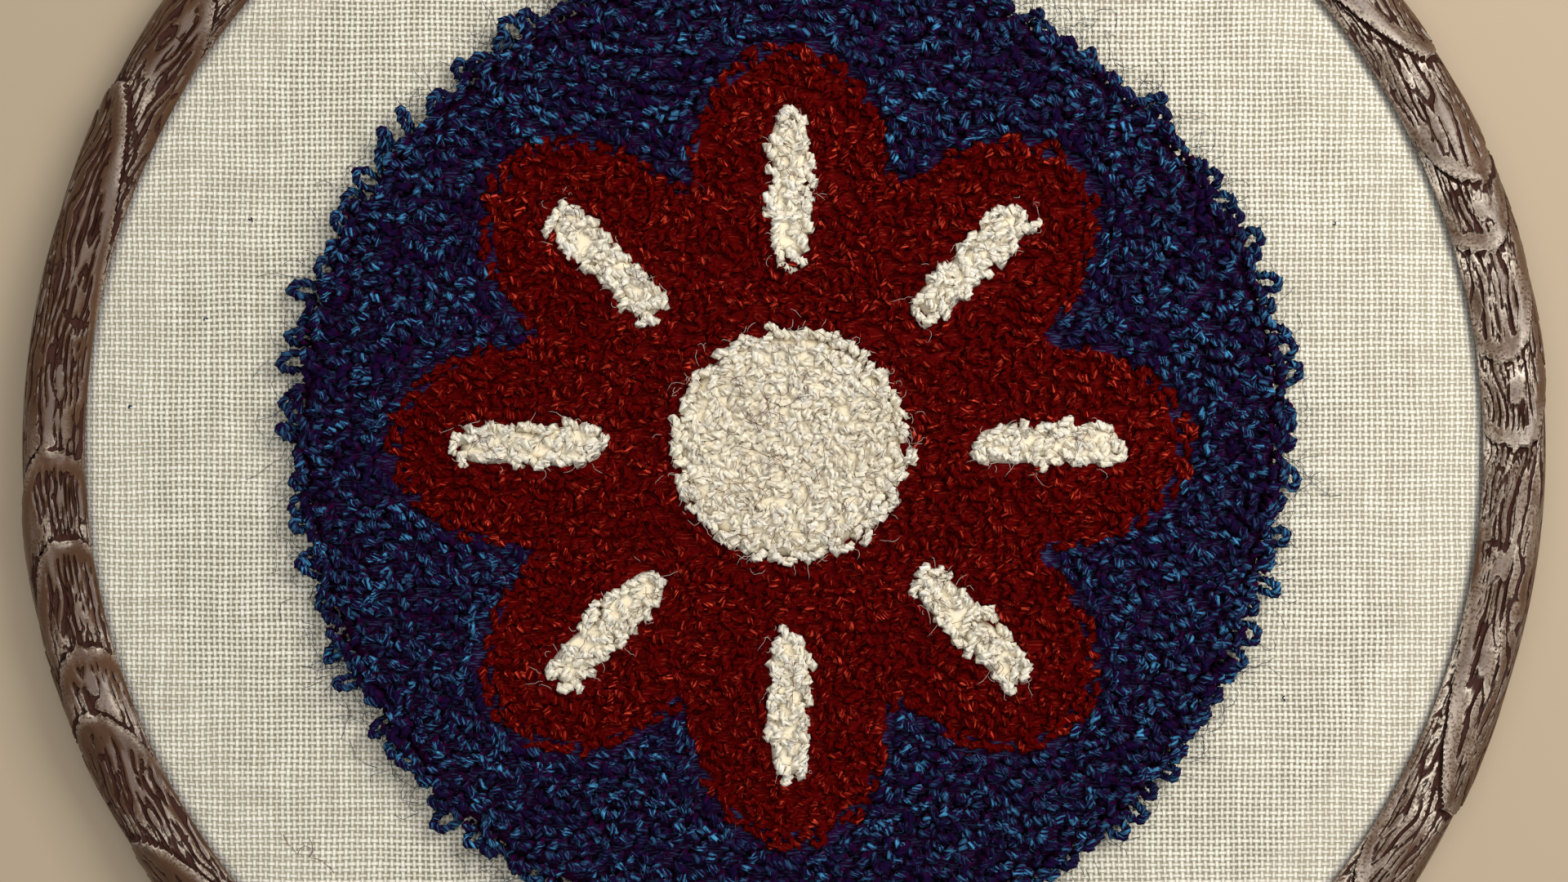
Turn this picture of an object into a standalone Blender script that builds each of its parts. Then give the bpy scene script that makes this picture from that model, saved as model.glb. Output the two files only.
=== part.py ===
"""Punch needle piece, stretched in a round wood-look hoop that lies on its back.

Metres, +Z up. The origin is the hoop's centre on the plane that its back rests on,
and +Y is the top of the stitched design.
"""

import math

import bpy
from mathutils import Matrix, Vector, noise

# Hoop: a soft outer ring, whose rounded front has a lip over the cloth, pressed on a plain inner ring.
OUTER_RADIUS = 0.0827
OPENING_RADIUS = 0.0750
CROWN_HEIGHT = 0.0098
EDGE_HEIGHT = 0.0052
FOOT_BEVEL = 0.0009
INNER_RING_BORE = 0.0692
INNER_RING_RADIUS = 0.0768
INNER_RING_HEIGHT = 0.0055
INNER_RING_BEVEL = 0.0005

# Cloth: one sheet that lies on the inner ring and turns down between the two rings.
CLOTH_THICKNESS = 0.0010
CLOTH_BEND_RADIUS = 0.0024
CLOTH_HEM_HEIGHT = 0.0010
BEND_TURNS = (30.0, 60.0, 90.0)

# Gap that touching pieces keep.
GAP = 0.0003

# Design: a round ground of loops with an eight-petalled flower, a round centre and a bar in each petal.
DESIGN_CENTRE = Vector((0.0006, 0.0004, 0.0))
GROUND_RADIUS = 0.0528
GROUND_WOBBLE = 0.0005
GROUND_LOBES = 5
PETALS = 8
PETAL_TIP = 0.0432
PETAL_NOTCH = 0.0255
PETAL_ROUNDNESS = 0.31
NOTCH_SOFTNESS = 0.012
CENTRE_RADIUS = 0.0127
BAR_LENGTH = 0.0168
BAR_WIDTH = 0.0048
BAR_CENTRE = 0.0276
BAR_SQUARENESS = 4.0

# Pile: how far the loops of each colour stand above the cloth, and where the top of a slab of them has its
# rows of points, as shares of the way from its inner edge to its outer one.
GROUND_PILE = 0.0042
FLOWER_PILE = 0.0034
WHITE_PILE = 0.0040
PILE_SHOULDER = 0.0011
PILE_ROWS = (0.22, 0.57, 0.92)
PILE_LUMP = 0.0005
LUMP_SPACING = 0.0042

# Loops that lean out over the cloth at the rim of the ground, from the shortest reach to the longest.
RIM_LOOPS = 64
RIM_LOOP_REACHES = (0.0006, 0.0026)
RIM_LOOP_SPREAD = 1.35
RIM_LOOP_THICKNESS = 0.0011

# Heights and radii that follow from the stack of ring, cloth and lip.
CLOTH_MIDDLE = INNER_RING_HEIGHT + GAP + CLOTH_THICKNESS / 2
LIP_UNDERSIDE = CLOTH_MIDDLE + CLOTH_THICKNESS / 2 + GAP
CLOTH_WALL_RADIUS = INNER_RING_RADIUS + GAP + CLOTH_THICKNESS / 2
WALL_RADIUS = CLOTH_WALL_RADIUS + CLOTH_THICKNESS / 2 + GAP
PILE_FOOT = LIP_UNDERSIDE

# One repeat of the bark relief, in the direction that its tongues point, which is clockwise from the front.
# A row for each tongue: its length along the crown, where its tip lies across the front (0 at the opening,
# 1 at the outer side), and how far its edge falls back at the opening and at the outer side.
BARK_TONGUES = (
    {"length": 0.0400, "tip": 0.66, "back_in": 0.0190, "back_out": 0.0055},
    {"length": 0.0140, "tip": 0.55, "back_in": 0.0060, "back_out": 0.0045},
    {"length": 0.0072, "tip": 0.45, "back_in": 0.0025, "back_out": 0.0022},
    {"length": 0.0120, "tip": 0.36, "back_in": 0.0030, "back_out": 0.0052},
    {"length": 0.0096, "tip": 0.58, "back_in": 0.0042, "back_out": 0.0030},
)
BARK_REPEATS = 6
BARK_LENGTH = BARK_REPEATS * sum(row["length"] for row in BARK_TONGUES)
TONGUE_RISE = 0.00055
TONGUE_RUN = 0.0060
CREASE_WIDTH = 0.0022

# Facets.
HOOP_STEPS = 168
RING_STEPS = 84
CROWN_STEPS = 8
CENTRE_STEPS = 28
BAR_STEPS = 16
RIM_LOOP_STEPS = 3
PILE_STEPS = RIM_LOOPS * RIM_LOOP_STEPS
SEAM_MERGE = 1e-5

COLOURS = {
    "vinyl_bark": ((0.105, 0.068, 0.050), 0.42),
    "ring_plastic": ((0.150, 0.105, 0.080), 0.50),
    "cotton_cloth": ((0.700, 0.660, 0.560), 0.90),
    "wool_blue": ((0.010, 0.060, 0.160), 0.95),
    "wool_red": ((0.230, 0.010, 0.008), 0.95),
    "wool_white": ((0.640, 0.610, 0.540), 0.95),
}


def clear_scene():
    """Removes every object of the scene that the file opens with."""
    for obj in list(bpy.data.objects):
        bpy.data.objects.remove(obj)


def new_collection(name):
    """Adds a collection to the scene."""
    collection = bpy.data.collections.new(name)
    bpy.context.scene.collection.children.link(collection)
    return collection


def new_material(name):
    """A Principled material in the part's colour."""
    colour, roughness = COLOURS[name]
    material = bpy.data.materials.new(name)
    material.use_nodes = True
    shader = material.node_tree.nodes["Principled BSDF"]
    shader.inputs["Base Color"].default_value = (*colour, 1.0)
    shader.inputs["Roughness"].default_value = roughness
    shader.inputs["Metallic"].default_value = 0.0
    return material


def new_object(name, mesh, collection, material=None, sharp_degrees=40.0):
    """Puts a mesh in a collection as an object, shaded smooth between its sharp edges."""
    obj = bpy.data.objects.new(name, mesh)
    collection.objects.link(obj)
    if material is not None:
        mesh.materials.append(material)
        mesh.shade_smooth()
        mesh.set_sharp_from_angle(angle=math.radians(sharp_degrees))
    return obj


def turned(name, section, steps, collection, material=None):
    """Turns a section of (across, height) points round Z with a Screw modifier.

    The section runs down its outer side. One that starts on the axis is left open,
    and one that starts off it is closed to a ring.
    """
    count = len(section)
    edges = [(i, i + 1) for i in range(count - 1)]
    if section[0][0] > 0.0:
        edges.append((count - 1, 0))
    mesh = bpy.data.meshes.new(name)
    mesh.from_pydata([(across, 0.0, height) for across, height in section], edges, [])
    obj = new_object(name, mesh, collection, material)
    screw = obj.modifiers.new("Turn", "SCREW")
    screw.steps = screw.render_steps = steps
    screw.use_merge_vertices = True
    screw.merge_threshold = SEAM_MERGE
    return obj


def reshape(obj, place):
    """Applies an object's modifiers and moves each point by a rule.

    place takes the point's angle round Z, its distance across and its height.
    """
    depsgraph = bpy.context.evaluated_depsgraph_get()
    mesh = bpy.data.meshes.new_from_object(obj.evaluated_get(depsgraph))
    for vert in mesh.vertices:
        x, y, height = vert.co
        vert.co = place(math.atan2(y, x), math.hypot(x, y), height)
    obj.modifiers.clear()
    obj.data = mesh
    mesh.set_sharp_from_angle(angle=math.radians(40.0))
    return obj


def polar(angle, radius, height):
    """The point at an angle round Z, a radius from it and a height."""
    return Vector((radius * math.cos(angle), radius * math.sin(angle), height))


def tongue_back(row, across):
    """How far a tongue's edge lies behind its tip, at a place across the hoop's front."""
    if across < row["tip"]:
        return row["back_in"] * ((row["tip"] - across) / row["tip"]) ** 1.4
    return row["back_out"] * ((across - row["tip"]) / (1.0 - row["tip"])) ** 1.8


def bark_relief(angle, across):
    """Height of the bark's overlapping tongues over the hoop's plain crown."""
    along = (-angle / math.tau) % 1.0 * BARK_LENGTH
    ahead = behind = BARK_LENGTH
    tip = 0.0
    for _ in range(BARK_REPEATS):
        for row in BARK_TONGUES:
            tip += row["length"]
            to_edge = (tip - tongue_back(row, across) - along) % BARK_LENGTH
            ahead = min(ahead, to_edge)
            behind = min(behind, BARK_LENGTH - to_edge)
    rise = TONGUE_RISE * max(0.0, 1.0 - ahead / TONGUE_RUN)
    crease = TONGUE_RISE * max(0.0, 1.0 - min(ahead, behind) / CREASE_WIDTH)
    fade = min(1.0, 6.0 * across, 6.0 * (1.0 - across))
    return fade * (rise - crease - TONGUE_RISE)


def hoop_front(across):
    """The section's point at a place across the rounded front, from the opening (0) to the outer side (1)."""
    half_width = (OUTER_RADIUS - OPENING_RADIUS) / 2
    turn = math.pi * (1.0 - across)
    side_height = LIP_UNDERSIDE + GAP if across < 0.5 else EDGE_HEIGHT
    rise = CROWN_HEIGHT - side_height
    return (OPENING_RADIUS + half_width * (1.0 + math.cos(turn)), side_height + rise * math.sin(turn))


def outer_ring(collection, material):
    """The hoop's soft outer ring: a wall with a rounded front, a lip over the cloth and a flat foot."""
    front = [hoop_front(i / CROWN_STEPS) for i in range(CROWN_STEPS + 1)]
    back = [
        (OUTER_RADIUS, FOOT_BEVEL),
        (OUTER_RADIUS - FOOT_BEVEL, 0.0),
        (WALL_RADIUS, 0.0),
        (WALL_RADIUS, LIP_UNDERSIDE),
        (OPENING_RADIUS, LIP_UNDERSIDE),
    ]
    middle = (OUTER_RADIUS + OPENING_RADIUS) / 2

    def place(angle, radius, height):
        """Raises the bark on the rounded front, and leaves the other faces plain."""
        nearest = min(range(CROWN_STEPS + 1), key=lambda i: math.dist(front[i], (radius, height)))
        if math.dist(front[nearest], (radius, height)) > 1e-6:
            return polar(angle, radius, height)
        relief = bark_relief(angle, nearest / CROWN_STEPS)
        outward = Vector((radius - middle, height - EDGE_HEIGHT)).normalized()
        return polar(angle, radius + relief * outward.x, height + relief * outward.y)

    return reshape(turned("hoop_outer", front + back, HOOP_STEPS, collection, material), place)


def inner_ring(collection, material):
    """The plain ring that the cloth is stretched over, with its upper outer corner rounded for the cloth."""
    bend = CLOTH_BEND_RADIUS - CLOTH_THICKNESS / 2 - GAP
    corner = [
        (
            INNER_RING_RADIUS - bend + bend * math.sin(math.radians(turn)),
            INNER_RING_HEIGHT - bend + bend * math.cos(math.radians(turn)),
        )
        for turn in (0.0, *BEND_TURNS)
    ]
    rest = [
        (INNER_RING_RADIUS, 0.0),
        (INNER_RING_BORE, 0.0),
        (INNER_RING_BORE, INNER_RING_HEIGHT - INNER_RING_BEVEL),
        (INNER_RING_BORE + INNER_RING_BEVEL, INNER_RING_HEIGHT),
    ]
    return turned("hoop_inner", corner + rest, RING_STEPS, collection, material)


def ground_cloth(collection, material):
    """The cloth as one sheet: flat over the ring, then bent down between the rings to its cut edge."""
    bend_centre = CLOTH_WALL_RADIUS - CLOTH_BEND_RADIUS
    flat = [(bend_centre * share, CLOTH_MIDDLE) for share in (0.0, 0.5, 1.0)]
    bent = [
        (
            bend_centre + CLOTH_BEND_RADIUS * math.sin(math.radians(turn)),
            CLOTH_MIDDLE - CLOTH_BEND_RADIUS + CLOTH_BEND_RADIUS * math.cos(math.radians(turn)),
        )
        for turn in BEND_TURNS
    ]
    hem = (CLOTH_WALL_RADIUS, CLOTH_HEM_HEIGHT)
    cloth = turned("ground_cloth", [*flat, *bent, hem], RING_STEPS, collection, material)
    thickness = cloth.modifiers.new("Thickness", "SOLIDIFY")
    thickness.thickness = CLOTH_THICKNESS
    thickness.offset = 0.0
    return cloth


def flower_radius(angle):
    """Radius of the flower's outline: rounded petals that meet in narrow notches."""
    lobe = (math.cos(PETALS * angle / 2.0) ** 2 + NOTCH_SOFTNESS) / (1.0 + NOTCH_SOFTNESS)
    return PETAL_NOTCH + (PETAL_TIP - PETAL_NOTCH) * lobe**PETAL_ROUNDNESS


def flower_edge(angle, allowance=0.0):
    """The flower's outline, or one that stands off it by an allowance measured square to the outline."""
    nudge = math.radians(0.1)
    radius = flower_radius(angle)
    slope = (flower_radius(angle + nudge) - flower_radius(angle - nudge)) / (2.0 * nudge)
    return round_edge(angle, radius + allowance * math.hypot(1.0, slope / radius))


def ground_edge(angle):
    """The ground's outline, with the loops that lean out over the cloth at its rim."""
    step = round(angle / math.tau * PILE_STEPS) % PILE_STEPS
    loop, part = divmod(step, RIM_LOOP_STEPS)
    radius = GROUND_RADIUS + GROUND_WOBBLE * math.sin(GROUND_LOBES * angle)
    if part == 0:
        return round_edge(angle, radius)
    shortest, longest = RIM_LOOP_REACHES
    reach = shortest + (longest - shortest) * (0.5 + 0.5 * noise.noise(Vector((2.3 * loop, 0.0, 0.0))))
    middle = (loop * RIM_LOOP_STEPS + RIM_LOOP_STEPS / 2) / PILE_STEPS * math.tau
    offset = (angle - middle + math.pi) % math.tau - math.pi
    return round_edge(middle + offset * RIM_LOOP_SPREAD, radius + reach)


def round_edge(angle, radius):
    """A circle's point."""
    return Vector((radius * math.cos(angle), radius * math.sin(angle)))


def bar_edge(angle, allowance=0.0):
    """A bar's outline, an oblong with round corners that lies along X."""
    power = 2.0 / BAR_SQUARENESS
    cosine, sine = math.cos(angle), math.sin(angle)
    half_length = BAR_LENGTH / 2 + allowance
    half_width = BAR_WIDTH / 2 + allowance
    return Vector(
        (
            half_length * math.copysign(abs(cosine) ** power, cosine),
            half_width * math.copysign(abs(sine) ** power, sine),
        )
    )


def lump(point, seed):
    """The unevenness of the tops of the loops, from none to a full lump."""
    spot = Vector((point.x / LUMP_SPACING, point.y / LUMP_SPACING, seed))
    return PILE_LUMP * noise.noise(spot)


def pile_slab(name, steps, height, collection, material, outer, inner=None, rim_height=None, seed=0.0):
    """A slab of pile between two outlines, or inside one, with a rounded shoulder and a lumpy top.

    rim_height is the height of the outer edge itself, where loops lean out beyond the shoulder.
    """
    shoulder = height - PILE_SHOULDER
    edge_height = shoulder if rim_height is None else rim_height
    top = [(share, height) for share in PILE_ROWS]
    edge = [(1.0, edge_height), (1.0, 0.0)]
    if inner is None:
        section = [(0.0, height), *top, *edge, (0.0, 0.0)]
    else:
        section = [(1.0 + across, level) for across, level in [(0.0, shoulder), *top, *edge, (0.0, 0.0)]]

    def place(angle, across, level):
        """Spreads the unit section between the outlines and gives its top the lumps of the pile."""
        if inner is None:
            spot = across * outer(angle)
        else:
            spot = inner(angle).lerp(outer(angle), across - 1.0)
        uneven = lump(spot, seed) if level > height - PILE_SHOULDER / 2 else 0.0
        return Vector((spot.x, spot.y, PILE_FOOT + level + uneven))

    return reshape(turned(name, section, steps, collection, material), place)


def bar_turns():
    """The turn of each bar: one down the middle of every petal."""
    return [math.tau * i / PETALS for i in range(PETALS)]


def bar_place(turn):
    """Where a bar lies: moved out from the design's centre, and turned with its petal."""
    out = Matrix.Translation((BAR_CENTRE, 0.0, 0.0))
    return Matrix.Translation(DESIGN_CENTRE) @ Matrix.Rotation(turn, 4, "Z") @ out


def bar_cutters(collection):
    """Prisms that clear the flower's pile round each bar."""
    over = 2.0 * GROUND_PILE
    section = [(0.0, over), (1.0, over), (1.0, -GAP), (0.0, -GAP)]

    def place(angle, across, level):
        """Spreads the prism to the bar's outline and the gap round it."""
        spot = across * bar_edge(angle, GAP)
        return Vector((spot.x, spot.y, PILE_FOOT + level))

    cutters = []
    for number, turn in enumerate(bar_turns(), start=1):
        cutter = reshape(turned(f"bar_cutter_{number}", section, BAR_STEPS, collection), place)
        cutter.matrix_world = bar_place(turn)
        cutter.hide_render = True
        cutter.display_type = "WIRE"
        cutters.append(cutter)
    return cutters


def pile_ground(collection, material):
    """The blue ground: a lumpy ring of pile round the flower, with loops leaning out at its rim."""
    ground = pile_slab(
        "pile_blue_ground",
        PILE_STEPS,
        GROUND_PILE,
        collection,
        material,
        ground_edge,
        inner=lambda angle: flower_edge(angle, GAP),
        rim_height=RIM_LOOP_THICKNESS,
        seed=1.0,
    )
    ground.location = DESIGN_CENTRE
    return ground


def pile_flower(collection, material, cutters):
    """The red flower: a lumpy slab of pile round its centre, with a slot for each bar."""
    flower = pile_slab(
        "pile_red_flower",
        PILE_STEPS,
        FLOWER_PILE,
        collection,
        material,
        flower_edge,
        inner=lambda angle: round_edge(angle, CENTRE_RADIUS + GAP),
        seed=2.0,
    )
    flower.location = DESIGN_CENTRE
    for number, cutter in enumerate(cutters, start=1):
        slot = flower.modifiers.new(f"Slot {number}", "BOOLEAN")
        slot.operation = "DIFFERENCE"
        slot.object = cutter
    return flower


def pile_centre(collection, material):
    """The white centre of the flower."""
    centre = pile_slab(
        "pile_white_centre",
        CENTRE_STEPS,
        WHITE_PILE,
        collection,
        material,
        lambda angle: round_edge(angle, CENTRE_RADIUS),
        seed=3.0,
    )
    centre.location = DESIGN_CENTRE
    return centre


def pile_bars(collection, material):
    """The white bars, one in each petal, as separate pieces."""
    for number, turn in enumerate(bar_turns(), start=1):
        bar = pile_slab(
            f"pile_white_bar_{number}",
            BAR_STEPS,
            WHITE_PILE,
            collection,
            material,
            bar_edge,
            seed=float(PETALS + number),
        )
        bar.matrix_world = bar_place(turn)


def main():
    """Builds the hoop, the cloth and the pile."""
    clear_scene()
    part = new_collection("punch_needle_hoop")
    helpers = new_collection("cutters")
    materials = {name: new_material(name) for name in COLOURS}
    outer_ring(part, materials["vinyl_bark"])
    inner_ring(part, materials["ring_plastic"])
    ground_cloth(part, materials["cotton_cloth"])
    pile_ground(part, materials["wool_blue"])
    pile_flower(part, materials["wool_red"], bar_cutters(helpers))
    pile_centre(part, materials["wool_white"])
    pile_bars(part, materials["wool_white"])


main()
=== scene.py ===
"""Looks of a punch needle piece in a round wood-look hoop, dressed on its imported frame.

Metres, +Z up and out of the stitched face. The hoop lies on its back with its centre at the
origin, and the camera looks straight down on it.
"""

import logging
import math
from dataclasses import dataclass, field, replace
from enum import Enum

import bpy
import numpy as np
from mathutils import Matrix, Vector
from mathutils.noise import noise as soft_noise


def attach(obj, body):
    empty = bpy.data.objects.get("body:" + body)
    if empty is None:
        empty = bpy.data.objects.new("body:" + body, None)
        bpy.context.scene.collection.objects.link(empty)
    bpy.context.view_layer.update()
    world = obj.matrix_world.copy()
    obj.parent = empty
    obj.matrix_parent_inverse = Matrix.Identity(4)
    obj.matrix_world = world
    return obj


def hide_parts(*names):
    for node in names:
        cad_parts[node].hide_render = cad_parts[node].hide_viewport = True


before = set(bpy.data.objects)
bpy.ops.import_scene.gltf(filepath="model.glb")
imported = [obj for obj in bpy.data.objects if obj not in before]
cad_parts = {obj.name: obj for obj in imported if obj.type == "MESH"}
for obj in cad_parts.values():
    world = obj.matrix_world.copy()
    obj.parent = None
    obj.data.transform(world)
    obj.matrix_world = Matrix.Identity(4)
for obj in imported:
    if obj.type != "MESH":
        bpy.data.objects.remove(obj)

LOG = logging.getLogger("punch_needle")
BODY = "root"
MM = 0.001
TAU = math.tau
UP = np.array((0.0, 0.0, 1.0))

# Height of the cloth's face.
CLOTH_TOP = 0.0068

# How far each tube's pattern starts from the last one's, in millimetres.
STRAND_SHIFT_MM = 37.0

# Sockets of a Mix node that mixes colours.
MIX_FACTOR, MIX_A, MIX_B, MIX_RESULT = 0, 6, 7, 2

Colour = tuple[float, float, float, float]
Socket = bpy.types.NodeSocket
Tree = bpy.types.NodeTree


def linear(code: str) -> Colour:
    """Turns an sRGB hex colour to a linear one.

    Args:
        code: The colour as six hex digits after a hash sign.

    Returns:
        Linear red, green, blue and an alpha of 1.
    """
    parts = [int(code[i : i + 2], 16) / 255 for i in (1, 3, 5)]
    red, green, blue = (p / 12.92 if p <= 0.04045 else ((p + 0.055) / 1.055) ** 2.4 for p in parts)
    return red, green, blue, 1.0


def smooth(values: np.ndarray, start: float, end: float) -> np.ndarray:
    """Eases values from 0 at start to 1 at end.

    Args:
        values: Any array.
        start: The value that becomes 0.
        end: The value that becomes 1.

    Returns:
        An array of the same shape, from 0 to 1.
    """
    share = np.clip((values - start) / (end - start), 0.0, 1.0)
    return share * share * (3.0 - 2.0 * share)


def unit(vectors: np.ndarray) -> np.ndarray:
    """Scales vectors in the last axis to length 1."""
    return vectors / np.maximum(np.linalg.norm(vectors, axis=-1, keepdims=True), 1e-12)


def square_to(vectors: np.ndarray, along: np.ndarray) -> np.ndarray:
    """Unit vectors with the part along another direction taken out."""
    return unit(vectors - np.sum(vectors * along, axis=-1, keepdims=True) * along)


def run_length(lines: np.ndarray) -> np.ndarray:
    """The distance run along each line at each of its points, from 0 at its start."""
    steps = np.linalg.norm(np.diff(lines, axis=-2), axis=-1)
    return np.concatenate((np.zeros_like(steps[..., :1]), np.cumsum(steps, axis=-1)), axis=-1)


def sample(stops: np.ndarray, reach: np.ndarray, line: np.ndarray) -> np.ndarray:
    """The points of a flat line at some distances along it."""
    return np.stack([np.interp(stops, reach, line[:, i]) for i in (0, 1)], axis=1)


def laid_out(
    spots: np.ndarray, headings: np.ndarray, along: np.ndarray, aside: np.ndarray | float, height: np.ndarray
) -> np.ndarray:
    """Places lines of points that are given by each spot's own heading.

    Args:
        spots: Rows of x and y.
        headings: The angle of each spot.
        along: How far each point lies along that angle, as spots by points.
        aside: How far it lies to the left.
        height: Its height.

    Returns:
        The points, as spots by points by 3.
    """
    cosine, sine = np.cos(headings)[:, None], np.sin(headings)[:, None]
    east = spots[:, :1] + along * cosine - aside * sine
    north = spots[:, 1:] + along * sine + aside * cosine
    return np.stack((east, north, height), axis=-1)


def feed(tree: Tree, node: bpy.types.Node, inputs: dict) -> None:
    """Sets each input of a node to its value, or links it to another node's output."""
    for socket, value in inputs.items():
        if isinstance(value, Socket):
            tree.links.new(value, node.inputs[socket])
        else:
            node.inputs[socket].default_value = value


def add_node(
    tree: Tree, kind: str, inputs: dict | None = None, output: int | str = 0, **settings: object
) -> Socket:
    """Adds a shader node with its settings and links.

    Args:
        tree: The material's node tree.
        kind: The node's type, without the start that all of them share.
        inputs: A value, or another node's output, for each input by its name or number.
        output: Which output to give back.
        **settings: The node's own properties.

    Returns:
        The chosen output, whose node attribute is the new node.
    """
    node = tree.nodes.new(f"ShaderNode{kind}")
    for name, value in settings.items():
        setattr(node, name, value)
    feed(tree, node, inputs or {})
    return node.outputs[output]


def new_material(name: str) -> tuple[bpy.types.Material, Tree, bpy.types.Node]:
    """Makes a material, and gives it with its node tree and its Principled node."""
    material = bpy.data.materials.new(name)
    material.use_nodes = True
    tree = material.node_tree
    return material, tree, tree.nodes["Principled BSDF"]


def added_object(name: str) -> bpy.types.Object:
    """Names the object that an operator has just added, and its mesh."""
    piece = bpy.context.view_layer.objects.active
    piece.name = piece.data.name = name
    return piece


def read_points(mesh: bpy.types.Mesh) -> np.ndarray:
    """Reads a mesh's points as an array of rows of x, y and z."""
    points = np.empty(len(mesh.vertices) * 3)
    mesh.vertices.foreach_get("co", points)
    return points.reshape(-1, 3)


def write_points(mesh: bpy.types.Mesh, points: np.ndarray) -> None:
    """Moves a mesh's points to the rows of an array."""
    mesh.vertices.foreach_set("co", np.ascontiguousarray(points).ravel())
    mesh.update()


def write_attribute(mesh: bpy.types.Mesh, name: str, values: np.ndarray) -> None:
    """Stores one number for each point under a name that materials read."""
    attribute = mesh.attributes.new(name, "FLOAT", "POINT")
    attribute.data.foreach_set("value", np.ravel(values).astype(np.float32))


def finish_piece(piece: bpy.types.Object, material: bpy.types.Material, slot: str, *nodes: str) -> None:
    """Dresses a piece, lets it ride on the frame and reports it.

    Args:
        piece: The finished object.
        material: Its finish.
        slot: The record's material slot that it stands for; not used.
        *nodes: The frame's solids that it replaces.
    """
    piece.data.materials.clear()
    piece.data.materials.append(material)
    if nodes:
        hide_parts(*nodes)
    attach(piece, BODY)
    piece.data.calc_loop_triangles()
    LOG.info("%s: %d triangles", piece.name, len(piece.data.loop_triangles))


@dataclass(frozen=True)
class MouldedBark:
    """Soft PVC moulded as bark and rubbed with a darker stain.

    The stain stays in the grooves, which look dull and near black-brown. The raised faces are
    taupe with a satin gloss, so lights draw broken streaks along them. A painted highlight makes
    them pale on the lips that face the opening, most of all along the brinks of the grooves, and
    brighter on the side of the ring that faces the key light.

    Attributes:
        raised, rubbed_tone_and_lip_shade: The two colours of the raised faces.
        stain: The colour in the grooves.
        painted_highlight_colour: The colour of the painted highlight.
        grit_mm: Size of the finest grains.
        mottle_mm: Size of the patches of the two colours.
        edge: Half the span of the groove attribute over which a groove begins.
        wall: How deep a groove's side looks.
        gloss: The roughness of a raised face and of a groove.
    """

    raised: str = "#3a2214"
    rubbed_tone_and_lip_shade: str = "#624733"
    stain: str = "#340f03"
    painted_highlight_colour: str = "#e8dccd"
    grit_mm: float = 0.30
    mottle_mm: float = 5.0
    edge: float = 0.14
    wall: float = 0.00035
    gloss: tuple[float, float] = (0.26, 0.8)

    def build(self) -> bpy.types.Material:
        """Makes the material from the ring's groove attribute, which is above 0 in a groove."""
        material, tree, shader = new_material("moulded_pvc_bark")
        where = add_node(tree, "TexCoord", output="Object")
        carving = add_node(tree, "Attribute", output="Fac", attribute_name="groove")
        sides = {"Value": carving, "From Min": -self.edge, "From Max": self.edge}
        groove = add_node(tree, "MapRange", sides, interpolation_type="SMOOTHSTEP")
        patches = {"Vector": where, "Scale": 1 / (self.mottle_mm * MM), "Detail": 3.0}
        mottle = add_node(tree, "TexNoise", patches)
        grains = {"Vector": where, "Scale": 1 / (self.grit_mm * MM), "Detail": 2.0}
        grit = add_node(tree, "TexNoise", grains)
        faces = {MIX_FACTOR: mottle, MIX_A: linear(self.raised), MIX_B: linear(self.rubbed_tone_and_lip_shade)}
        face = add_node(tree, "Mix", faces, MIX_RESULT, data_type="RGBA")
        # Painted highlight: the ring's painted highlight attribute, broken by grit specks and strongest
        # along the brinks of the grooves, mixes the faces towards a pale highlight colour.
        painted_highlight = add_node(tree, "Attribute", output="Fac", attribute_name="painted_highlight")
        specks = add_node(tree, "MapRange", {"Value": grit, "From Min": 0.34, "From Max": 0.52})
        brink = {"Value": carving, "From Min": -0.65, "From Max": -0.25, "To Min": 0.42, "To Max": 1.0}
        brink_highlight = add_node(tree, "MapRange", brink)
        patchy = add_node(tree, "Math", {0: painted_highlight, 1: specks}, operation="MULTIPLY")
        highlight_share = add_node(tree, "Math", {0: patchy, 1: brink_highlight}, operation="MULTIPLY")
        highlighting = {MIX_FACTOR: highlight_share, MIX_A: face, MIX_B: linear(self.painted_highlight_colour)}
        skin = add_node(tree, "Mix", highlighting, MIX_RESULT, data_type="RGBA")
        stained = {MIX_FACTOR: groove, MIX_A: skin, MIX_B: linear(self.stain)}
        colour = add_node(tree, "Mix", stained, MIX_RESULT, data_type="RGBA")
        low, high = self.gloss
        dull = add_node(tree, "MapRange", {"Value": groove, "To Min": low, "To Max": high})
        carved = {"Height": groove, "Strength": 1.0, "Distance": self.wall}
        wall = add_node(tree, "Bump", carved, invert=True)
        relief = {"Height": grit, "Strength": 0.35, "Distance": 0.00005, "Normal": wall}
        bump = add_node(tree, "Bump", relief)
        feed(tree, shader, {"Base Color": colour, "Roughness": dull, "Normal": bump})
        feed(tree, shader, {"IOR": 1.52, "Specular IOR Level": 0.38})
        return material


@dataclass(frozen=True)
class MouldedPlastic:
    """Injection-moulded ABS with a fine spark-eroded skin, which spreads its highlights."""

    colour: str = "#4b3a30"
    grain_mm: float = 0.4

    def build(self) -> bpy.types.Material:
        """Makes the material."""
        material, tree, shader = new_material("moulded_abs_ring")
        where = add_node(tree, "TexCoord", output="Object")
        grains = {"Vector": where, "Scale": 1 / (self.grain_mm * MM), "Detail": 3.0}
        grain = add_node(tree, "TexNoise", grains)
        bump = add_node(tree, "Bump", {"Height": grain, "Strength": 0.4, "Distance": 0.00004})
        rough = add_node(tree, "MapRange", {"Value": grain, "To Min": 0.42, "To Max": 0.58})
        feed(tree, shader, {"Normal": bump, "Roughness": rough})
        feed(tree, shader, {"Base Color": linear(self.colour), "IOR": 1.54})
        return material


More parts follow.
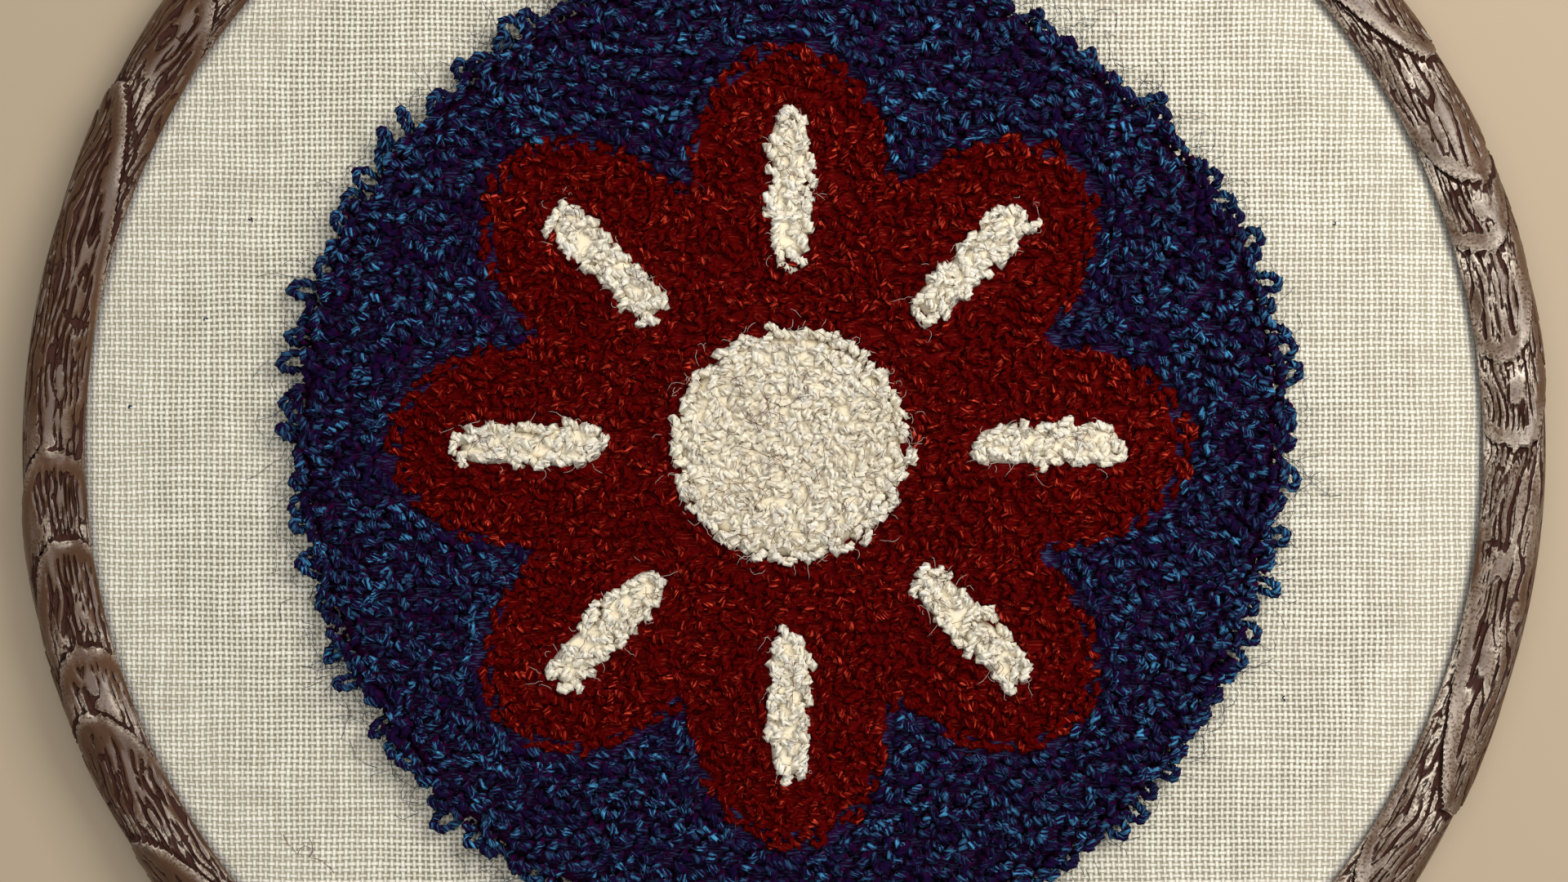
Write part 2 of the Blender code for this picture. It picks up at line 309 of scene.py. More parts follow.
@dataclass(frozen=True)
class PlainWeave:
    """Cream cotton woven one over one under, 41 threads to the inch.

    Each thread shows as a row of pale beads with a dark hole at each corner; the beads' pale
    crowns are a painted highlight and their darker sides a painted shade. The holes are painted
    shade, darkest where nothing lies behind the stretched cloth, and pale over the inner ring.

    Attributes:
        thread_mm: Distance from thread to thread.
        bead, thread, edge: The colours of a thread's crown, of its body and where it is thin; the crown is
            painted paler as a highlight.
        hole, pale_hole: The painted shade of a hole in the open and over the inner ring.
        ring_from, ring_fade: The radius at which the inner ring lies behind, and how fast it shows.
        rubbed_tone_and_lip_shade: The colour of the painted shade where the cloth dives under the lip.
            lip_shade_from, lip_shade_to: The radii over which the painted shade comes in.
        drift_mm: How far the threads stray.
        slub_mm: Length of a thick place in a thread.
        shade_patch_mm: Size of the patches where the painted shade in the holes is darker.
    """

    thread_mm: float = 0.616
    bead: str = "#f5f5eb"
    thread: str = "#cecbbc"
    edge: str = "#9f9882"
    hole: str = "#726d5d"
    pale_hole: str = "#a59f8b"
    ring_from: float = 0.0690
    ring_fade: float = 0.0016
    rubbed_tone_and_lip_shade: str = "#77757a"
    lip_shade_from: float = 0.0740
    lip_shade_to: float = 0.0751
    drift_mm: float = 0.18
    slub_mm: float = 9.0
    shade_patch_mm: float = 12.0

    def build(self) -> bpy.types.Material:
        """Makes the material from the threads' heights, which Object coordinates give."""
        material, tree, shader = new_material("plain_weave_cotton")
        where = add_node(tree, "TexCoord", output="Object")
        height, tone = self.threads(tree, where)
        colour = self.colours(tree, where, height, tone)
        bump = add_node(tree, "Bump", {"Height": height, "Strength": 0.9, "Distance": 0.00016})
        feed(tree, shader, {"Base Color": colour, "Normal": bump, "Roughness": 0.92, "IOR": 1.45})
        feed(tree, shader, {"Sheen Weight": 0.12, "Sheen Roughness": 0.6})
        return material

    def threads(self, tree: Tree, where: Socket) -> tuple[Socket, Socket]:
        """Adds the weave's height and each thread's own tone.

        Args:
            tree: The material's node tree.
            where: The Object coordinates.

        Returns:
            The height, 0 in a hole and 1 on a bead, and the tone, near 0.5.
        """
        bends = {"Vector": where, "Scale": 1 / (self.slub_mm * MM), "Detail": 3.0}
        bend = add_node(tree, "TexNoise", bends, output="Color")
        centred = add_node(tree, "VectorMath", {0: bend, 1: (0.5, 0.5, 0.5)}, operation="SUBTRACT")
        sway = {0: centred, "Scale": 4.0 * self.drift_mm * MM}
        drift = add_node(tree, "VectorMath", sway, operation="SCALE")
        moved = add_node(tree, "VectorMath", {0: where, 1: drift}, operation="ADD")
        turns = {0: moved, "Scale": math.pi / (self.thread_mm * MM)}
        scaled = add_node(tree, "VectorMath", turns, operation="SCALE")
        waves = add_node(tree, "VectorMath", {0: scaled}, operation="SINE")
        wave_x = add_node(tree, "SeparateXYZ", {0: waves})
        wave_y = wave_x.node.outputs["Y"]
        heights, tones = [], []
        for across, along, stretch, over in (
            (wave_x, wave_y, (1.0, 0.06, 1.0), 0.36),
            (wave_y, wave_x, (0.06, 1.0, 1.0), -0.36),
        ):
            drawn = add_node(tree, "VectorMath", {0: moved, 1: stretch}, operation="MULTIPLY")
            slubs = {"Vector": drawn, "Scale": 1 / (self.thread_mm * MM), "Detail": 1.0}
            slub = add_node(tree, "TexNoise", slubs)
            profile = add_node(tree, "Math", {0: across}, operation="ABSOLUTE")
            swell = {"Value": slub, "From Min": 0.3, "From Max": 0.7, "To Min": 0.62, "To Max": 0.18}
            thin = add_node(tree, "MapRange", swell)
            body = {"Value": profile, "From Min": thin, "From Max": 0.96}
            width = add_node(tree, "MapRange", body, interpolation_type="SMOOTHSTEP")
            side = add_node(tree, "Math", {0: across}, operation="SIGN")
            crimp = add_node(tree, "Math", {0: side, 1: along}, operation="MULTIPLY")
            crown = add_node(tree, "Math", {0: crimp, 1: over, 2: 0.64}, operation="MULTIPLY_ADD")
            heights.append(add_node(tree, "Math", {0: width, 1: crown}, operation="MULTIPLY"))
            tones.append(slub)
        height = add_node(tree, "Math", dict(enumerate(heights)), operation="MAXIMUM")
        return height, add_node(tree, "Math", dict(enumerate(tones)), operation="MULTIPLY")

    def colours(self, tree: Tree, where: Socket, height: Socket, tone: Socket) -> Socket:
        """Adds the weave's colours.

        Args:
            tree: The material's node tree.
            where: The Object coordinates.
            height: The weave's height.
            tone: Each thread's own tone.

        Returns:
            The colour.
        """
        flat = add_node(tree, "VectorMath", {0: where, 1: (1.0, 1.0, 0.0)}, operation="MULTIPLY")
        radius = add_node(tree, "VectorMath", {0: flat}, "Value", operation="LENGTH")
        # Patches where the painted shade in the holes is darker.
        shade_patch_inputs = {"Vector": where, "Scale": 1 / (self.shade_patch_mm * MM), "Detail": 2.0}
        shade_patch = add_node(tree, "TexNoise", shade_patch_inputs)
        # The holes are painted shade, darker in the open than over the inner ring.
        inner = {"Value": radius, "From Min": self.ring_from, "From Max": self.ring_from - self.ring_fade}
        open_zone = add_node(tree, "MapRange", inner, interpolation_type="SMOOTHSTEP")
        patches = {"Value": shade_patch, "From Min": 0.36, "From Max": 0.58, "To Min": 0.45, "To Max": 1.0}
        middle = add_node(tree, "MapRange", patches, interpolation_type="SMOOTHSTEP")
        depth = add_node(tree, "Math", {0: open_zone, 1: middle}, operation="MULTIPLY")
        holes = {MIX_FACTOR: depth, MIX_A: linear(self.pale_hole), MIX_B: linear(self.hole)}
        colour = add_node(tree, "Mix", holes, MIX_RESULT, data_type="RGBA")
        # The threads are painted darker towards the holes, a painted shade, and paler on their crowns, a
        # painted highlight.
        low = add_node(tree, "MapRange", {"Value": height, "From Min": 0.05, "From Max": 0.42})
        high = add_node(tree, "MapRange", {"Value": height, "From Min": 0.50, "From Max": 0.95})
        shade = {"Value": tone, "From Min": 0.15, "From Max": 0.38, "To Min": 0.28, "To Max": 0.0}
        dim = add_node(tree, "MapRange", shade)
        # Painted shade where the cloth dives under the outer ring's lip.
        lip = {"Value": radius, "From Min": self.lip_shade_from, "From Max": self.lip_shade_to, "To Max": 0.6}
        lip_shade = add_node(tree, "MapRange", lip, interpolation_type="SMOOTHSTEP")
        layers = ((low, self.thread), (high, self.bead), (dim, self.edge), (lip_shade, self.rubbed_tone_and_lip_shade))
        for share, code in layers:
            layer = {MIX_FACTOR: share, MIX_A: colour, MIX_B: linear(code)}
            colour = add_node(tree, "Mix", layer, MIX_RESULT, data_type="RGBA")
        return colour


@dataclass(frozen=True)
class TwistedWool:
    """Two-ply worsted wool, dyed in the yarn.

    Light scatters in its fibres. A painted highlight gives a ply's back fine bright streaks along
    it, and a painted shade takes the colour to near black low between the loops.

    Attributes:
        name: The material's name.
        painted_shade, body, streak_highlight: The painted shade low between the loops, the plies' own
            colour, and the painted highlight of their streaks.
        highlight_span: The span of the noise over which the painted highlight's streaks come in.
        fuzz: How much its loose fibres catch the light.
        glow: How much light scatters in it.
        streak_mm: Length of a streak.
        streaks: How many lie round a ply.
    """

    name: str
    painted_shade: str
    body: str
    streak_highlight: str
    highlight_span: tuple[float, float]
    fuzz: float
    glow: float = 0.0
    streak_mm: float = 1.1
    streaks: float = 5.0

    def build(self) -> bpy.types.Material:
        """Makes the material, which reads the lift and tone attributes and the strand UV map."""
        material, tree, shader = new_material(self.name)
        lift = add_node(tree, "Attribute", output="Fac", attribute_name="lift")
        tone = add_node(tree, "Attribute", output="Fac", attribute_name="tone")
        strand = add_node(tree, "UVMap", uv_map="strand")
        lengths = {0: strand, 1: (1 / self.streak_mm, self.streaks, 1.0)}
        stretched = add_node(tree, "VectorMath", lengths, operation="MULTIPLY")
        streak = add_node(tree, "TexNoise", {"Vector": stretched, "Scale": 1.0, "Detail": 3.0})
        # Painted shade: the colour sinks from the body to near black low in each loop, by its lift.
        rise = {"Value": lift, "From Min": 0.25, "From Max": 0.95}
        depth = add_node(tree, "MapRange", rise, interpolation_type="SMOOTHSTEP")
        sunk = {MIX_FACTOR: depth, MIX_A: linear(self.painted_shade), MIX_B: linear(self.body)}
        body = add_node(tree, "Mix", sunk, MIX_RESULT, data_type="RGBA")
        # Painted highlight: bright streaks on the raised part of each loop, more on loops of higher tone.
        low, high = self.highlight_span
        fibres = add_node(tree, "MapRange", {"Value": streak, "From Min": low, "From Max": high})
        share = add_node(tree, "Math", {0: fibres, 1: tone}, operation="MULTIPLY")
        raised = add_node(tree, "Math", {0: share, 1: depth}, operation="MULTIPLY")
        lit = {MIX_FACTOR: raised, MIX_A: body, MIX_B: linear(self.streak_highlight)}
        colour = add_node(tree, "Mix", lit, MIX_RESULT, data_type="RGBA")
        bump = add_node(tree, "Bump", {"Height": streak, "Strength": 0.8, "Distance": 0.00010})
        feed(tree, shader, {"Base Color": colour, "Normal": bump, "Roughness": 0.78, "IOR": 1.54})
        feed(tree, shader, {"Specular IOR Level": 0.03, "Subsurface Weight": self.glow})
        feed(tree, shader, {"Subsurface Radius": (1.0, 0.9, 0.75), "Subsurface Scale": 0.0007})
        feed(tree, shader, {"Sheen Weight": self.fuzz, "Sheen Roughness": 0.45})
        feed(tree, shader, {"Sheen Tint": linear(self.streak_highlight)})
        return material


@dataclass(frozen=True)
class PaintedBoard:
    """A plain pale board, painted matt with a roller, whose stipple spreads the light."""

    colour: str = "#b3a48e"
    stipple_mm: float = 1.2

    def build(self) -> bpy.types.Material:
        """Makes the material."""
        material, tree, shader = new_material("matt_painted_board")
        where = add_node(tree, "TexCoord", output="Object")
        dots = {"Vector": where, "Scale": 1 / (self.stipple_mm * MM), "Detail": 2.0}
        roller = add_node(tree, "TexNoise", dots)
        bump = add_node(tree, "Bump", {"Height": roller, "Strength": 0.2, "Distance": 0.00003})
        feed(tree, shader, {"Normal": bump, "Base Color": linear(self.colour), "Roughness": 0.9})
        return material


@dataclass(frozen=True)
class Yarn:
    """One colour of wool and the loops that the needle makes of it.

    Attributes:
        finish: Its material.
        ply: Radius of one of its two plies.
        apart: How far each ply lies from the yarn's middle line.
        twist: Length of one whole turn of the two plies.
        width: Width of a loop's crown.
        rise: Height of the loops' middle line over the cloth.
        bed: Height of the tangle of legs between them.
        uneven: How much the loops' heights differ.
        pitch: Distance from loop to loop in a row.
        row: Distance from row to row.
        spread: How far a loop's crown turns out of its row, in radians.
        lean: How far a crown leans off its feet.
    """

    finish: TwistedWool
    ply: float
    apart: float
    twist: float
    width: float
    rise: float
    bed: float
    uneven: float
    pitch: float
    row: float
    spread: float
    lean: float


class YarnColour(Enum):
    """The three yarns of the design."""

    # Each wool lists its painted shade, its own colour and its painted highlight.
    BLUE = Yarn(
        TwistedWool("two_ply_wool_blue", "#300030", "#16062e", "#4c9ed4", (0.49, 0.635), 0.02),
        ply=0.00034, apart=0.00026, twist=0.0021, width=0.0011, rise=0.0039, bed=0.0020,
        uneven=0.0006, pitch=0.00124, row=0.00136, spread=0.8, lean=0.0005,
    )
    RED = Yarn(
        TwistedWool("two_ply_wool_red", "#560001", "#500000", "#f0543c", (0.54, 0.68), 0.01),
        ply=0.00031, apart=0.00024, twist=0.0019, width=0.0011, rise=0.0032, bed=0.0021,
        uneven=0.0003, pitch=0.00120, row=0.00126, spread=1.4, lean=0.0004,
    )
    WHITE = Yarn(
        TwistedWool("two_ply_wool_white", "#f1e5cb", "#f1e6ce", "#fffbef", (0.42, 0.62), 0.25, 0.7),
        ply=0.00036, apart=0.00027, twist=0.0022, width=0.0013, rise=0.0036, bed=0.0031,
        uneven=0.0002, pitch=0.00118, row=0.00122, spread=1.5, lean=0.0003,
    )


@dataclass
class StrandMesh:
    """Collects many thin closed tubes and makes one mesh of them.

    Attributes:
        points, loops, starts, uvs, lifts, tones: The arrays of each batch of tubes.
        count: How many points the batches have so far.
        corners: How many face corners the batches have so far.
    """

    points: list[np.ndarray] = field(default_factory=list)
    loops: list[np.ndarray] = field(default_factory=list)
    starts: list[np.ndarray] = field(default_factory=list)
    uvs: list[np.ndarray] = field(default_factory=list)
    lifts: list[np.ndarray] = field(default_factory=list)
    tones: list[np.ndarray] = field(default_factory=list)
    count: int = 0
    corners: int = 0

    def add_tubes(
        self,
        lines: np.ndarray,
        radius: np.ndarray | float,
        sides: int,
        reference: np.ndarray,
        lift: np.ndarray,
        tone: np.ndarray,
        flat: float = 1.0,
    ) -> None:
        """Adds one tube along each line.

        Args:
            lines: The middle lines, as tubes by points by 3.
            radius: One radius, or one for each tube, or one for each point of each tube.
            sides: How many sides a tube has.
            reference: A direction that is never along the line, for each point.
            lift: The lift of each point, as tubes by points.
            tone: The tone of each tube.
            flat: How thick the section is along the reference, as a share of its width.
        """
        tubes, steps, _ = lines.shape
        along = unit(np.gradient(lines, axis=1))
        across = square_to(reference, along)
        side = np.cross(along, across)
        turn = (np.arange(sides) / sides * TAU)[:, None]
        radii = np.asarray(radius, dtype=float)
        radii = radii[:, None] if radii.ndim == 1 else radii
        radii = np.broadcast_to(radii, (tubes, steps))[..., None, None]
        ring = lines[:, :, None] + radii * flat * np.cos(turn) * across[:, :, None]
        ring = ring + radii * np.sin(turn) * side[:, :, None]
        index = np.arange(tubes * steps * sides).reshape(tubes, steps, sides) + self.count
        after = np.roll(index, -1, axis=2)
        walls = np.stack((index[:, :-1], after[:, :-1], after[:, 1:], index[:, 1:]), axis=-1)
        reach = run_length(lines) / MM + STRAND_SHIFT_MM * np.arange(tubes)[:, None]
        here = np.broadcast_to(reach[:, :-1, None], walls.shape[:-1])
        there = np.broadcast_to(reach[:, 1:, None], walls.shape[:-1])
        low = np.broadcast_to(np.arange(sides) / sides, walls.shape[:-1])
        high = low + 1.0 / sides
        ends = ((here, low), (here, high), (there, high), (there, low))
        wall_uvs = np.stack([np.stack(end, axis=-1) for end in ends], axis=-2)
        caps = np.concatenate((index[:, 0, ::-1], index[:, -1]), axis=0)
        self.lifts.append(np.repeat(lift.ravel(), sides))
        self.tones.append(np.repeat(tone, steps * sides))
        self.store(ring.reshape(-1, 3), walls, caps, wall_uvs.reshape(-1, 2))

    def add_slab(self, rings: np.ndarray, lift: np.ndarray, tone: float = 0.35) -> None:
        """Adds a closed slab from rings of points, with one face at each end of them.

        Args:
            rings: Rings by steps by 3, anticlockwise, from the foot's edge up to the top's middle.
            lift: The lift of each ring.
            tone: The tone of all of it.
        """
        count, steps, _ = rings.shape
        index = np.arange(count * steps).reshape(count, steps) + self.count
        after = np.roll(index, -1, axis=1)
        walls = np.stack((index[:-1], after[:-1], after[1:], index[1:]), axis=-1)
        flat = rings.reshape(-1, 3)
        wall_uvs = flat[walls.ravel() - self.count, :2] / MM
        self.lifts.append(np.repeat(lift, steps))
        self.tones.append(np.full(count * steps, tone))
        self.store(flat, walls, np.stack((index[0, ::-1], index[-1])), wall_uvs)

    def store(self, points: np.ndarray, walls: np.ndarray, caps: np.ndarray, wall_uvs: np.ndarray) -> None:
        """Keeps one batch of points and faces.

        Args:
            points: The batch's points.
            walls: The corners of its four-sided faces.
            caps: The corners of its end faces, a row for each.
            wall_uvs: The place on the strand for each corner of the four-sided faces.
        """
        self.points.append(points)
        self.loops.extend((walls.ravel(), caps.ravel()))
        self.starts.append(self.corners + np.arange(0, walls.size, 4))
        self.starts.append(self.corners + walls.size + np.arange(0, caps.size, caps.shape[-1]))
        self.uvs.extend((wall_uvs, np.zeros((caps.size, 2))))
        self.count += len(points)
        self.corners += walls.size + caps.size

    def add_two_ply(
        self,
        lines: np.ndarray,
        normal: np.ndarray,
        yarn: Yarn,
        sides: int,
        lift: np.ndarray,
        tone: np.ndarray,
        rng: np.random.Generator,
    ) -> None:
        """Adds two plies that twist round each line.

        Args:
            lines: The yarns' middle lines, as yarns by points by 3.
            normal: A direction square to each line, for each point.
            yarn: The yarn's sizes.
            sides: How many sides a ply has.
            lift: The lift of each point, as yarns by points.
            tone: The tone of each yarn.
            rng: The source of each yarn's own start of twist, thickness and shade.
        """
        along = unit(np.gradient(lines, axis=1))
        first = square_to(normal, along)
        second = np.cross(along, first)
        reach = run_length(lines)
        start = rng.uniform(0.0, TAU, (len(lines), 1))
        plump = rng.uniform(0.88, 1.12, len(lines))
        for half in (0.0, math.pi):
            turn = (start + half + reach / yarn.twist * TAU)[..., None]
            out = np.cos(turn) * first + np.sin(turn) * second
            radius = yarn.ply * plump * rng.uniform(0.9, 1.1, len(lines))
            shade = np.clip(tone + rng.uniform(-0.12, 0.12, len(lines)), 0.0, 1.0)
            self.add_tubes(lines + yarn.apart * out, radius, sides, out, lift, shade)

    def build(self, name: str) -> bpy.types.Object:
        """Makes the mesh and its object, which is at the origin, under the piece's name."""
        mesh = bpy.data.meshes.new(name)
        starts = np.concatenate(self.starts)
        mesh.vertices.add(self.count)
        mesh.loops.add(self.corners)
        mesh.polygons.add(len(starts))
        mesh.vertices.foreach_set("co", np.concatenate(self.points).ravel())
        mesh.loops.foreach_set("vertex_index", np.concatenate(self.loops))
        mesh.polygons.foreach_set("loop_start", starts)
        mesh.update(calc_edges=True)
        layer = mesh.uv_layers.new(name="strand")
        layer.data.foreach_set("uv", np.concatenate(self.uvs).ravel())
        write_attribute(mesh, "lift", np.concatenate(self.lifts))
        write_attribute(mesh, "tone", np.concatenate(self.tones))
        mesh.shade_smooth()
        piece = bpy.data.objects.new(name, mesh)
        bpy.context.collection.objects.link(piece)
        return piece


@dataclass(frozen=True)
class Outline:
    """A closed flat outline that is seen whole from its own middle.

    Attributes:
        middle: Its middle.
        curve: Its points about the middle, anticlockwise.
    """

    middle: np.ndarray
    curve: np.ndarray

    def depth(self, spots: np.ndarray) -> np.ndarray:
        """How far inside the outline each row of x and y is, below 0 outside it."""
        offset = spots - self.middle
        nearest = np.full(len(spots), np.inf)
        for corner in self.curve:
            np.minimum(nearest, np.linalg.norm(offset - corner, axis=1), out=nearest)
        turns = np.arctan2(self.curve[:, 1], self.curve[:, 0]) % TAU
        order = np.argsort(turns)
        reach = np.linalg.norm(self.curve, axis=1)[order]
        edge = np.interp(np.arctan2(offset[:, 1], offset[:, 0]) % TAU, turns[order], reach, period=TAU)
        return np.where(np.linalg.norm(offset, axis=1) < edge, nearest, -nearest)

    def row(self, inset: float, pitch: float) -> tuple[np.ndarray, np.ndarray]:
        """Spaces spots evenly along a line inside the outline.

        Args:
            inset: How far inside it the line runs, or below 0 outside it.
            pitch: Distance from spot to spot.

        Returns:
            The spots and the direction of the line at each, as angles.
        """
        ahead = unit(np.roll(self.curve, -1, axis=0) - np.roll(self.curve, 1, axis=0))
        line = self.curve + inset * np.stack((-ahead[:, 1], ahead[:, 0]), axis=1) + self.middle
        line = line[np.abs(self.depth(line)) > 0.92 * abs(inset)]
        closed = np.concatenate((line, line[:1]))
        reach = run_length(closed)
        stops = np.linspace(0.0, reach[-1], max(3, round(reach[-1] / pitch)), endpoint=False)
        spots = sample(stops, reach, closed)
        after = sample(stops + 0.2 * pitch, reach, closed)
        return spots, np.arctan2(after[:, 1] - spots[:, 1], after[:, 0] - spots[:, 0])

    def shrunk(self, inset: float, height: float) -> np.ndarray:
        """The outline drawn in towards its middle, as a ring of points at a height."""
        reach = np.linalg.norm(self.curve, axis=1, keepdims=True)
        flat = self.middle + self.curve * np.maximum(1.0 - inset / reach, 0.02)
        return np.concatenate((flat, np.full((len(flat), 1), height)), axis=1)[::3]


@dataclass
class Design:
    """The stitched design: a round ground, a flower of eight petals with a bar in each, a centre.

    Attributes:
        middle: Its middle.
        ground_radius, ground_wobble, ground_lobes: The ground, and how much and how often it bulges.
        petals: How many petals the flower has.
        petal_tip, petal_notch: The flower's greatest and least radius.
        petal_roundness: How blunt a petal is, less for a blunter one.
        notch_softness: How rounded the notch between two petals is.
        centre_radius: The white centre.
        bar_length, bar_width, bar_centre: A bar's size, and how far out its middle lies.
        bar_squareness: How square a bar's corners are.
        steps: How many points an outline has.
    """

    middle: tuple[float, float] = (0.0006, 0.0004)
    ground_radius: float = 0.0528
    ground_wobble: float = 0.0005
    ground_lobes: int = 5
    petals: int = 8
    petal_tip: float = 0.0432
    petal_notch: float = 0.0255
    petal_roundness: float = 0.31
    notch_softness: float = 0.012
    centre_radius: float = 0.0127
    bar_length: float = 0.0168
    bar_width: float = 0.0048
    bar_centre: float = 0.0276
    bar_squareness: float = 4.0
    steps: int = 360

    def turns(self) -> np.ndarray:
        """The angles at which outlines have their points."""
        return np.arange(self.steps) / self.steps * TAU

    def round_outline(self, radius: np.ndarray | float) -> Outline:
        """An outline about the design's middle from its radius at each of the angles."""
        turn = self.turns()
        circle = np.stack((np.cos(turn), np.sin(turn)), axis=1)
        return Outline(np.array(self.middle), circle * np.reshape(radius, (-1, 1)))

    def ground(self) -> Outline:
        """The edge of the blue ground."""
        wave = np.sin(self.ground_lobes * self.turns())
        return self.round_outline(self.ground_radius + self.ground_wobble * wave)

    def flower(self) -> Outline:
        """The edge of the red flower."""
        wave = np.cos(self.petals * self.turns() / 2) ** 2
        lobe = (wave + self.notch_softness) / (1.0 + self.notch_softness)
        depth = self.petal_tip - self.petal_notch
        return self.round_outline(self.petal_notch + depth * lobe**self.petal_roundness)

    def centre(self) -> Outline:
        """The edge of the white centre."""
        return self.round_outline(np.full(self.steps, self.centre_radius))

    def bar(self, number: int) -> Outline:
        """The edge of the white bar in one petal, an oblong with round corners that points outwards."""
        turn = self.turns()
        power = 2.0 / self.bar_squareness
        along = self.bar_length / 2 * np.sign(np.cos(turn)) * np.abs(np.cos(turn)) ** power
        across = self.bar_width / 2 * np.sign(np.sin(turn)) * np.abs(np.sin(turn)) ** power
        heading = number / self.petals * TAU
        out = np.array((math.cos(heading), math.sin(heading)))
        left = np.array((-out[1], out[0]))
        curve = along[:, None] * out + across[:, None] * left
        return Outline(np.array(self.middle) + self.bar_centre * out, curve)


@dataclass
class PileField:
    """One field of loops of one yarn.

    A row of loops runs along each edge, and straight rows from side to side fill the rest.

    Attributes:
        yarn: The yarn and its loops.
        outline: The field's edge.
        holes: The edges of the fields inside it.
        seed: The start of its chance numbers.
        edge_inset: How far inside the edge its row of loops runs.
        edge_pitch: Distance from loop to loop in that row.
        edge_jitter: How far a loop of that row may stand out of line.
        jitter: How far any other loop may, as a share of the rows.
        clear: Least distance from that row to other loops.
        patch: Length of the paler and darker patches.
        patchy: How much those patches differ.
        steps: How many points a loop's line has.
        sides: How many sides a ply has.
    """

    yarn: Yarn
    outline: Outline
    holes: tuple[Outline, ...] = ()
    seed: int = 1
    edge_inset: float = 0.0008
    edge_pitch: float = 0.00120
    edge_jitter: float = 0.00022
    jitter: float = 0.11
    clear: float = 0.00072
    patch: float = 0.006
    patchy: float = 0.45
    steps: int = 7
    sides: int = 4

    def lay_spots(self, rng: np.random.Generator) -> tuple[np.ndarray, np.ndarray]:
        """Places the loops.

        Args:
            rng: The source of chance.

        Returns:
            The loops' spots on the cloth and the angle that each crown lies at.
        """
        yarn = self.yarn
        spots, headings = self.outline.row(self.edge_inset, self.edge_pitch)
        for hole in self.holes:
            more, turns = hole.row(-self.edge_inset, self.edge_pitch)
            kept = self.outline.depth(more) > self.edge_inset
            spots = np.concatenate((spots, more[kept]))
            headings = np.concatenate((headings, turns[kept]))
        spots = spots + rng.normal(0.0, self.edge_jitter, spots.shape)
        reach = np.max(np.linalg.norm(self.outline.curve, axis=1))
        rows = np.arange(-reach, reach, yarn.row)
        across, up = np.meshgrid(np.arange(-reach, reach, yarn.pitch), rows)
        across = across + rng.uniform(0.0, yarn.pitch, (len(rows), 1))
        fill = np.stack((across.ravel(), up.ravel()), axis=1) + self.outline.middle
        fill += rng.normal(0.0, self.jitter, fill.shape) * (yarn.pitch, yarn.row)
        inside = self.outline.depth(fill) > self.edge_inset
        for hole in self.holes:
            inside &= hole.depth(fill) < -self.edge_inset
        fill = fill[inside]
        gaps = np.linalg.norm(fill[:, None] - spots[None], axis=-1).min(axis=1)
        fill = fill[gaps > self.clear]
        headings = headings + rng.normal(0.0, 0.45 * yarn.spread, len(headings))
        turned = rng.normal(0.0, yarn.spread, len(fill))
        return np.concatenate((spots, fill)), np.concatenate((headings, turned))

    def loop_lines(
        self, spots: np.ndarray, headings: np.ndarray, rng: np.random.Generator
    ) -> tuple[np.ndarray, np.ndarray]:
        """Draws the middle line of the yarn in each loop: up, over a round crown and down.

        Args:
            spots: The loops' places.
            headings: The angles that their crowns lie at.
            rng: The source of chance.

        Returns:
            The lines, and the direction square to each loop's plane at each point.
        """
        yarn = self.yarn
        each = (len(spots), 1)
        turn = 2.2 * np.linspace(-1.0, 1.0, self.steps)
        width = yarn.width * rng.uniform(0.85, 1.2, each)
        rise = yarn.rise + yarn.uneven * np.clip(rng.normal(0.0, 0.5, each), -1.2, 1.0)
        crown = 0.62 * width
        along = width / 2 * np.sin(turn)
        height = rise - crown * (1.0 - np.cos(turn))
        height[:, (0, -1)] = np.minimum(height[:, (0, -1)], yarn.bed - 0.0003)
        bent = np.clip(height / rise, 0.0, 1.0) ** 2
        lean = rng.normal(0.0, yarn.lean, each) * bent
        drift = rng.normal(0.0, 0.5 * yarn.lean, each) * bent
        lines = laid_out(spots, headings, along + drift, lean, CLOTH_TOP + height)
        cosine, sine = np.cos(headings)[:, None], np.sin(headings)[:, None]
        square = np.stack((-sine, cosine, np.zeros_like(sine)), axis=-1)
        return lines, np.broadcast_to(square, lines.shape)

    def lift(self, lines: np.ndarray) -> np.ndarray:
        """How high each point stands in its own loop, from 0 low on the legs to 1 on the crown; the wool's
        painted shade and highlight follow it.
        """
        fall = lines[..., 2].max(axis=-1, keepdims=True) - lines[..., 2]
        return np.clip(1.0 - fall / (0.75 * self.yarn.width), 0.0, 1.0)

    def bed(self) -> tuple[np.ndarray, np.ndarray]:
        """Draws the slab that stands for the tangle of legs under the crowns.

        Returns:
            Its rings of points, and the lift of each ring.
        """
        top = CLOTH_TOP + self.yarn.bed
        reach = np.min(np.linalg.norm(self.outline.curve, axis=1))
        rings = [(0.0008, CLOTH_TOP), (0.0009, top - 0.0010)]
        rings += [(inset, top) for inset in np.linspace(0.0020, 0.97 * reach, 3)]
        points = np.stack([self.outline.shrunk(*ring) for ring in rings])
        # The low lift of its foot and the middling lift of its top give it the wool's painted shade.
        return points, np.array((0.0, 0.0, 0.6, 0.6, 0.6))

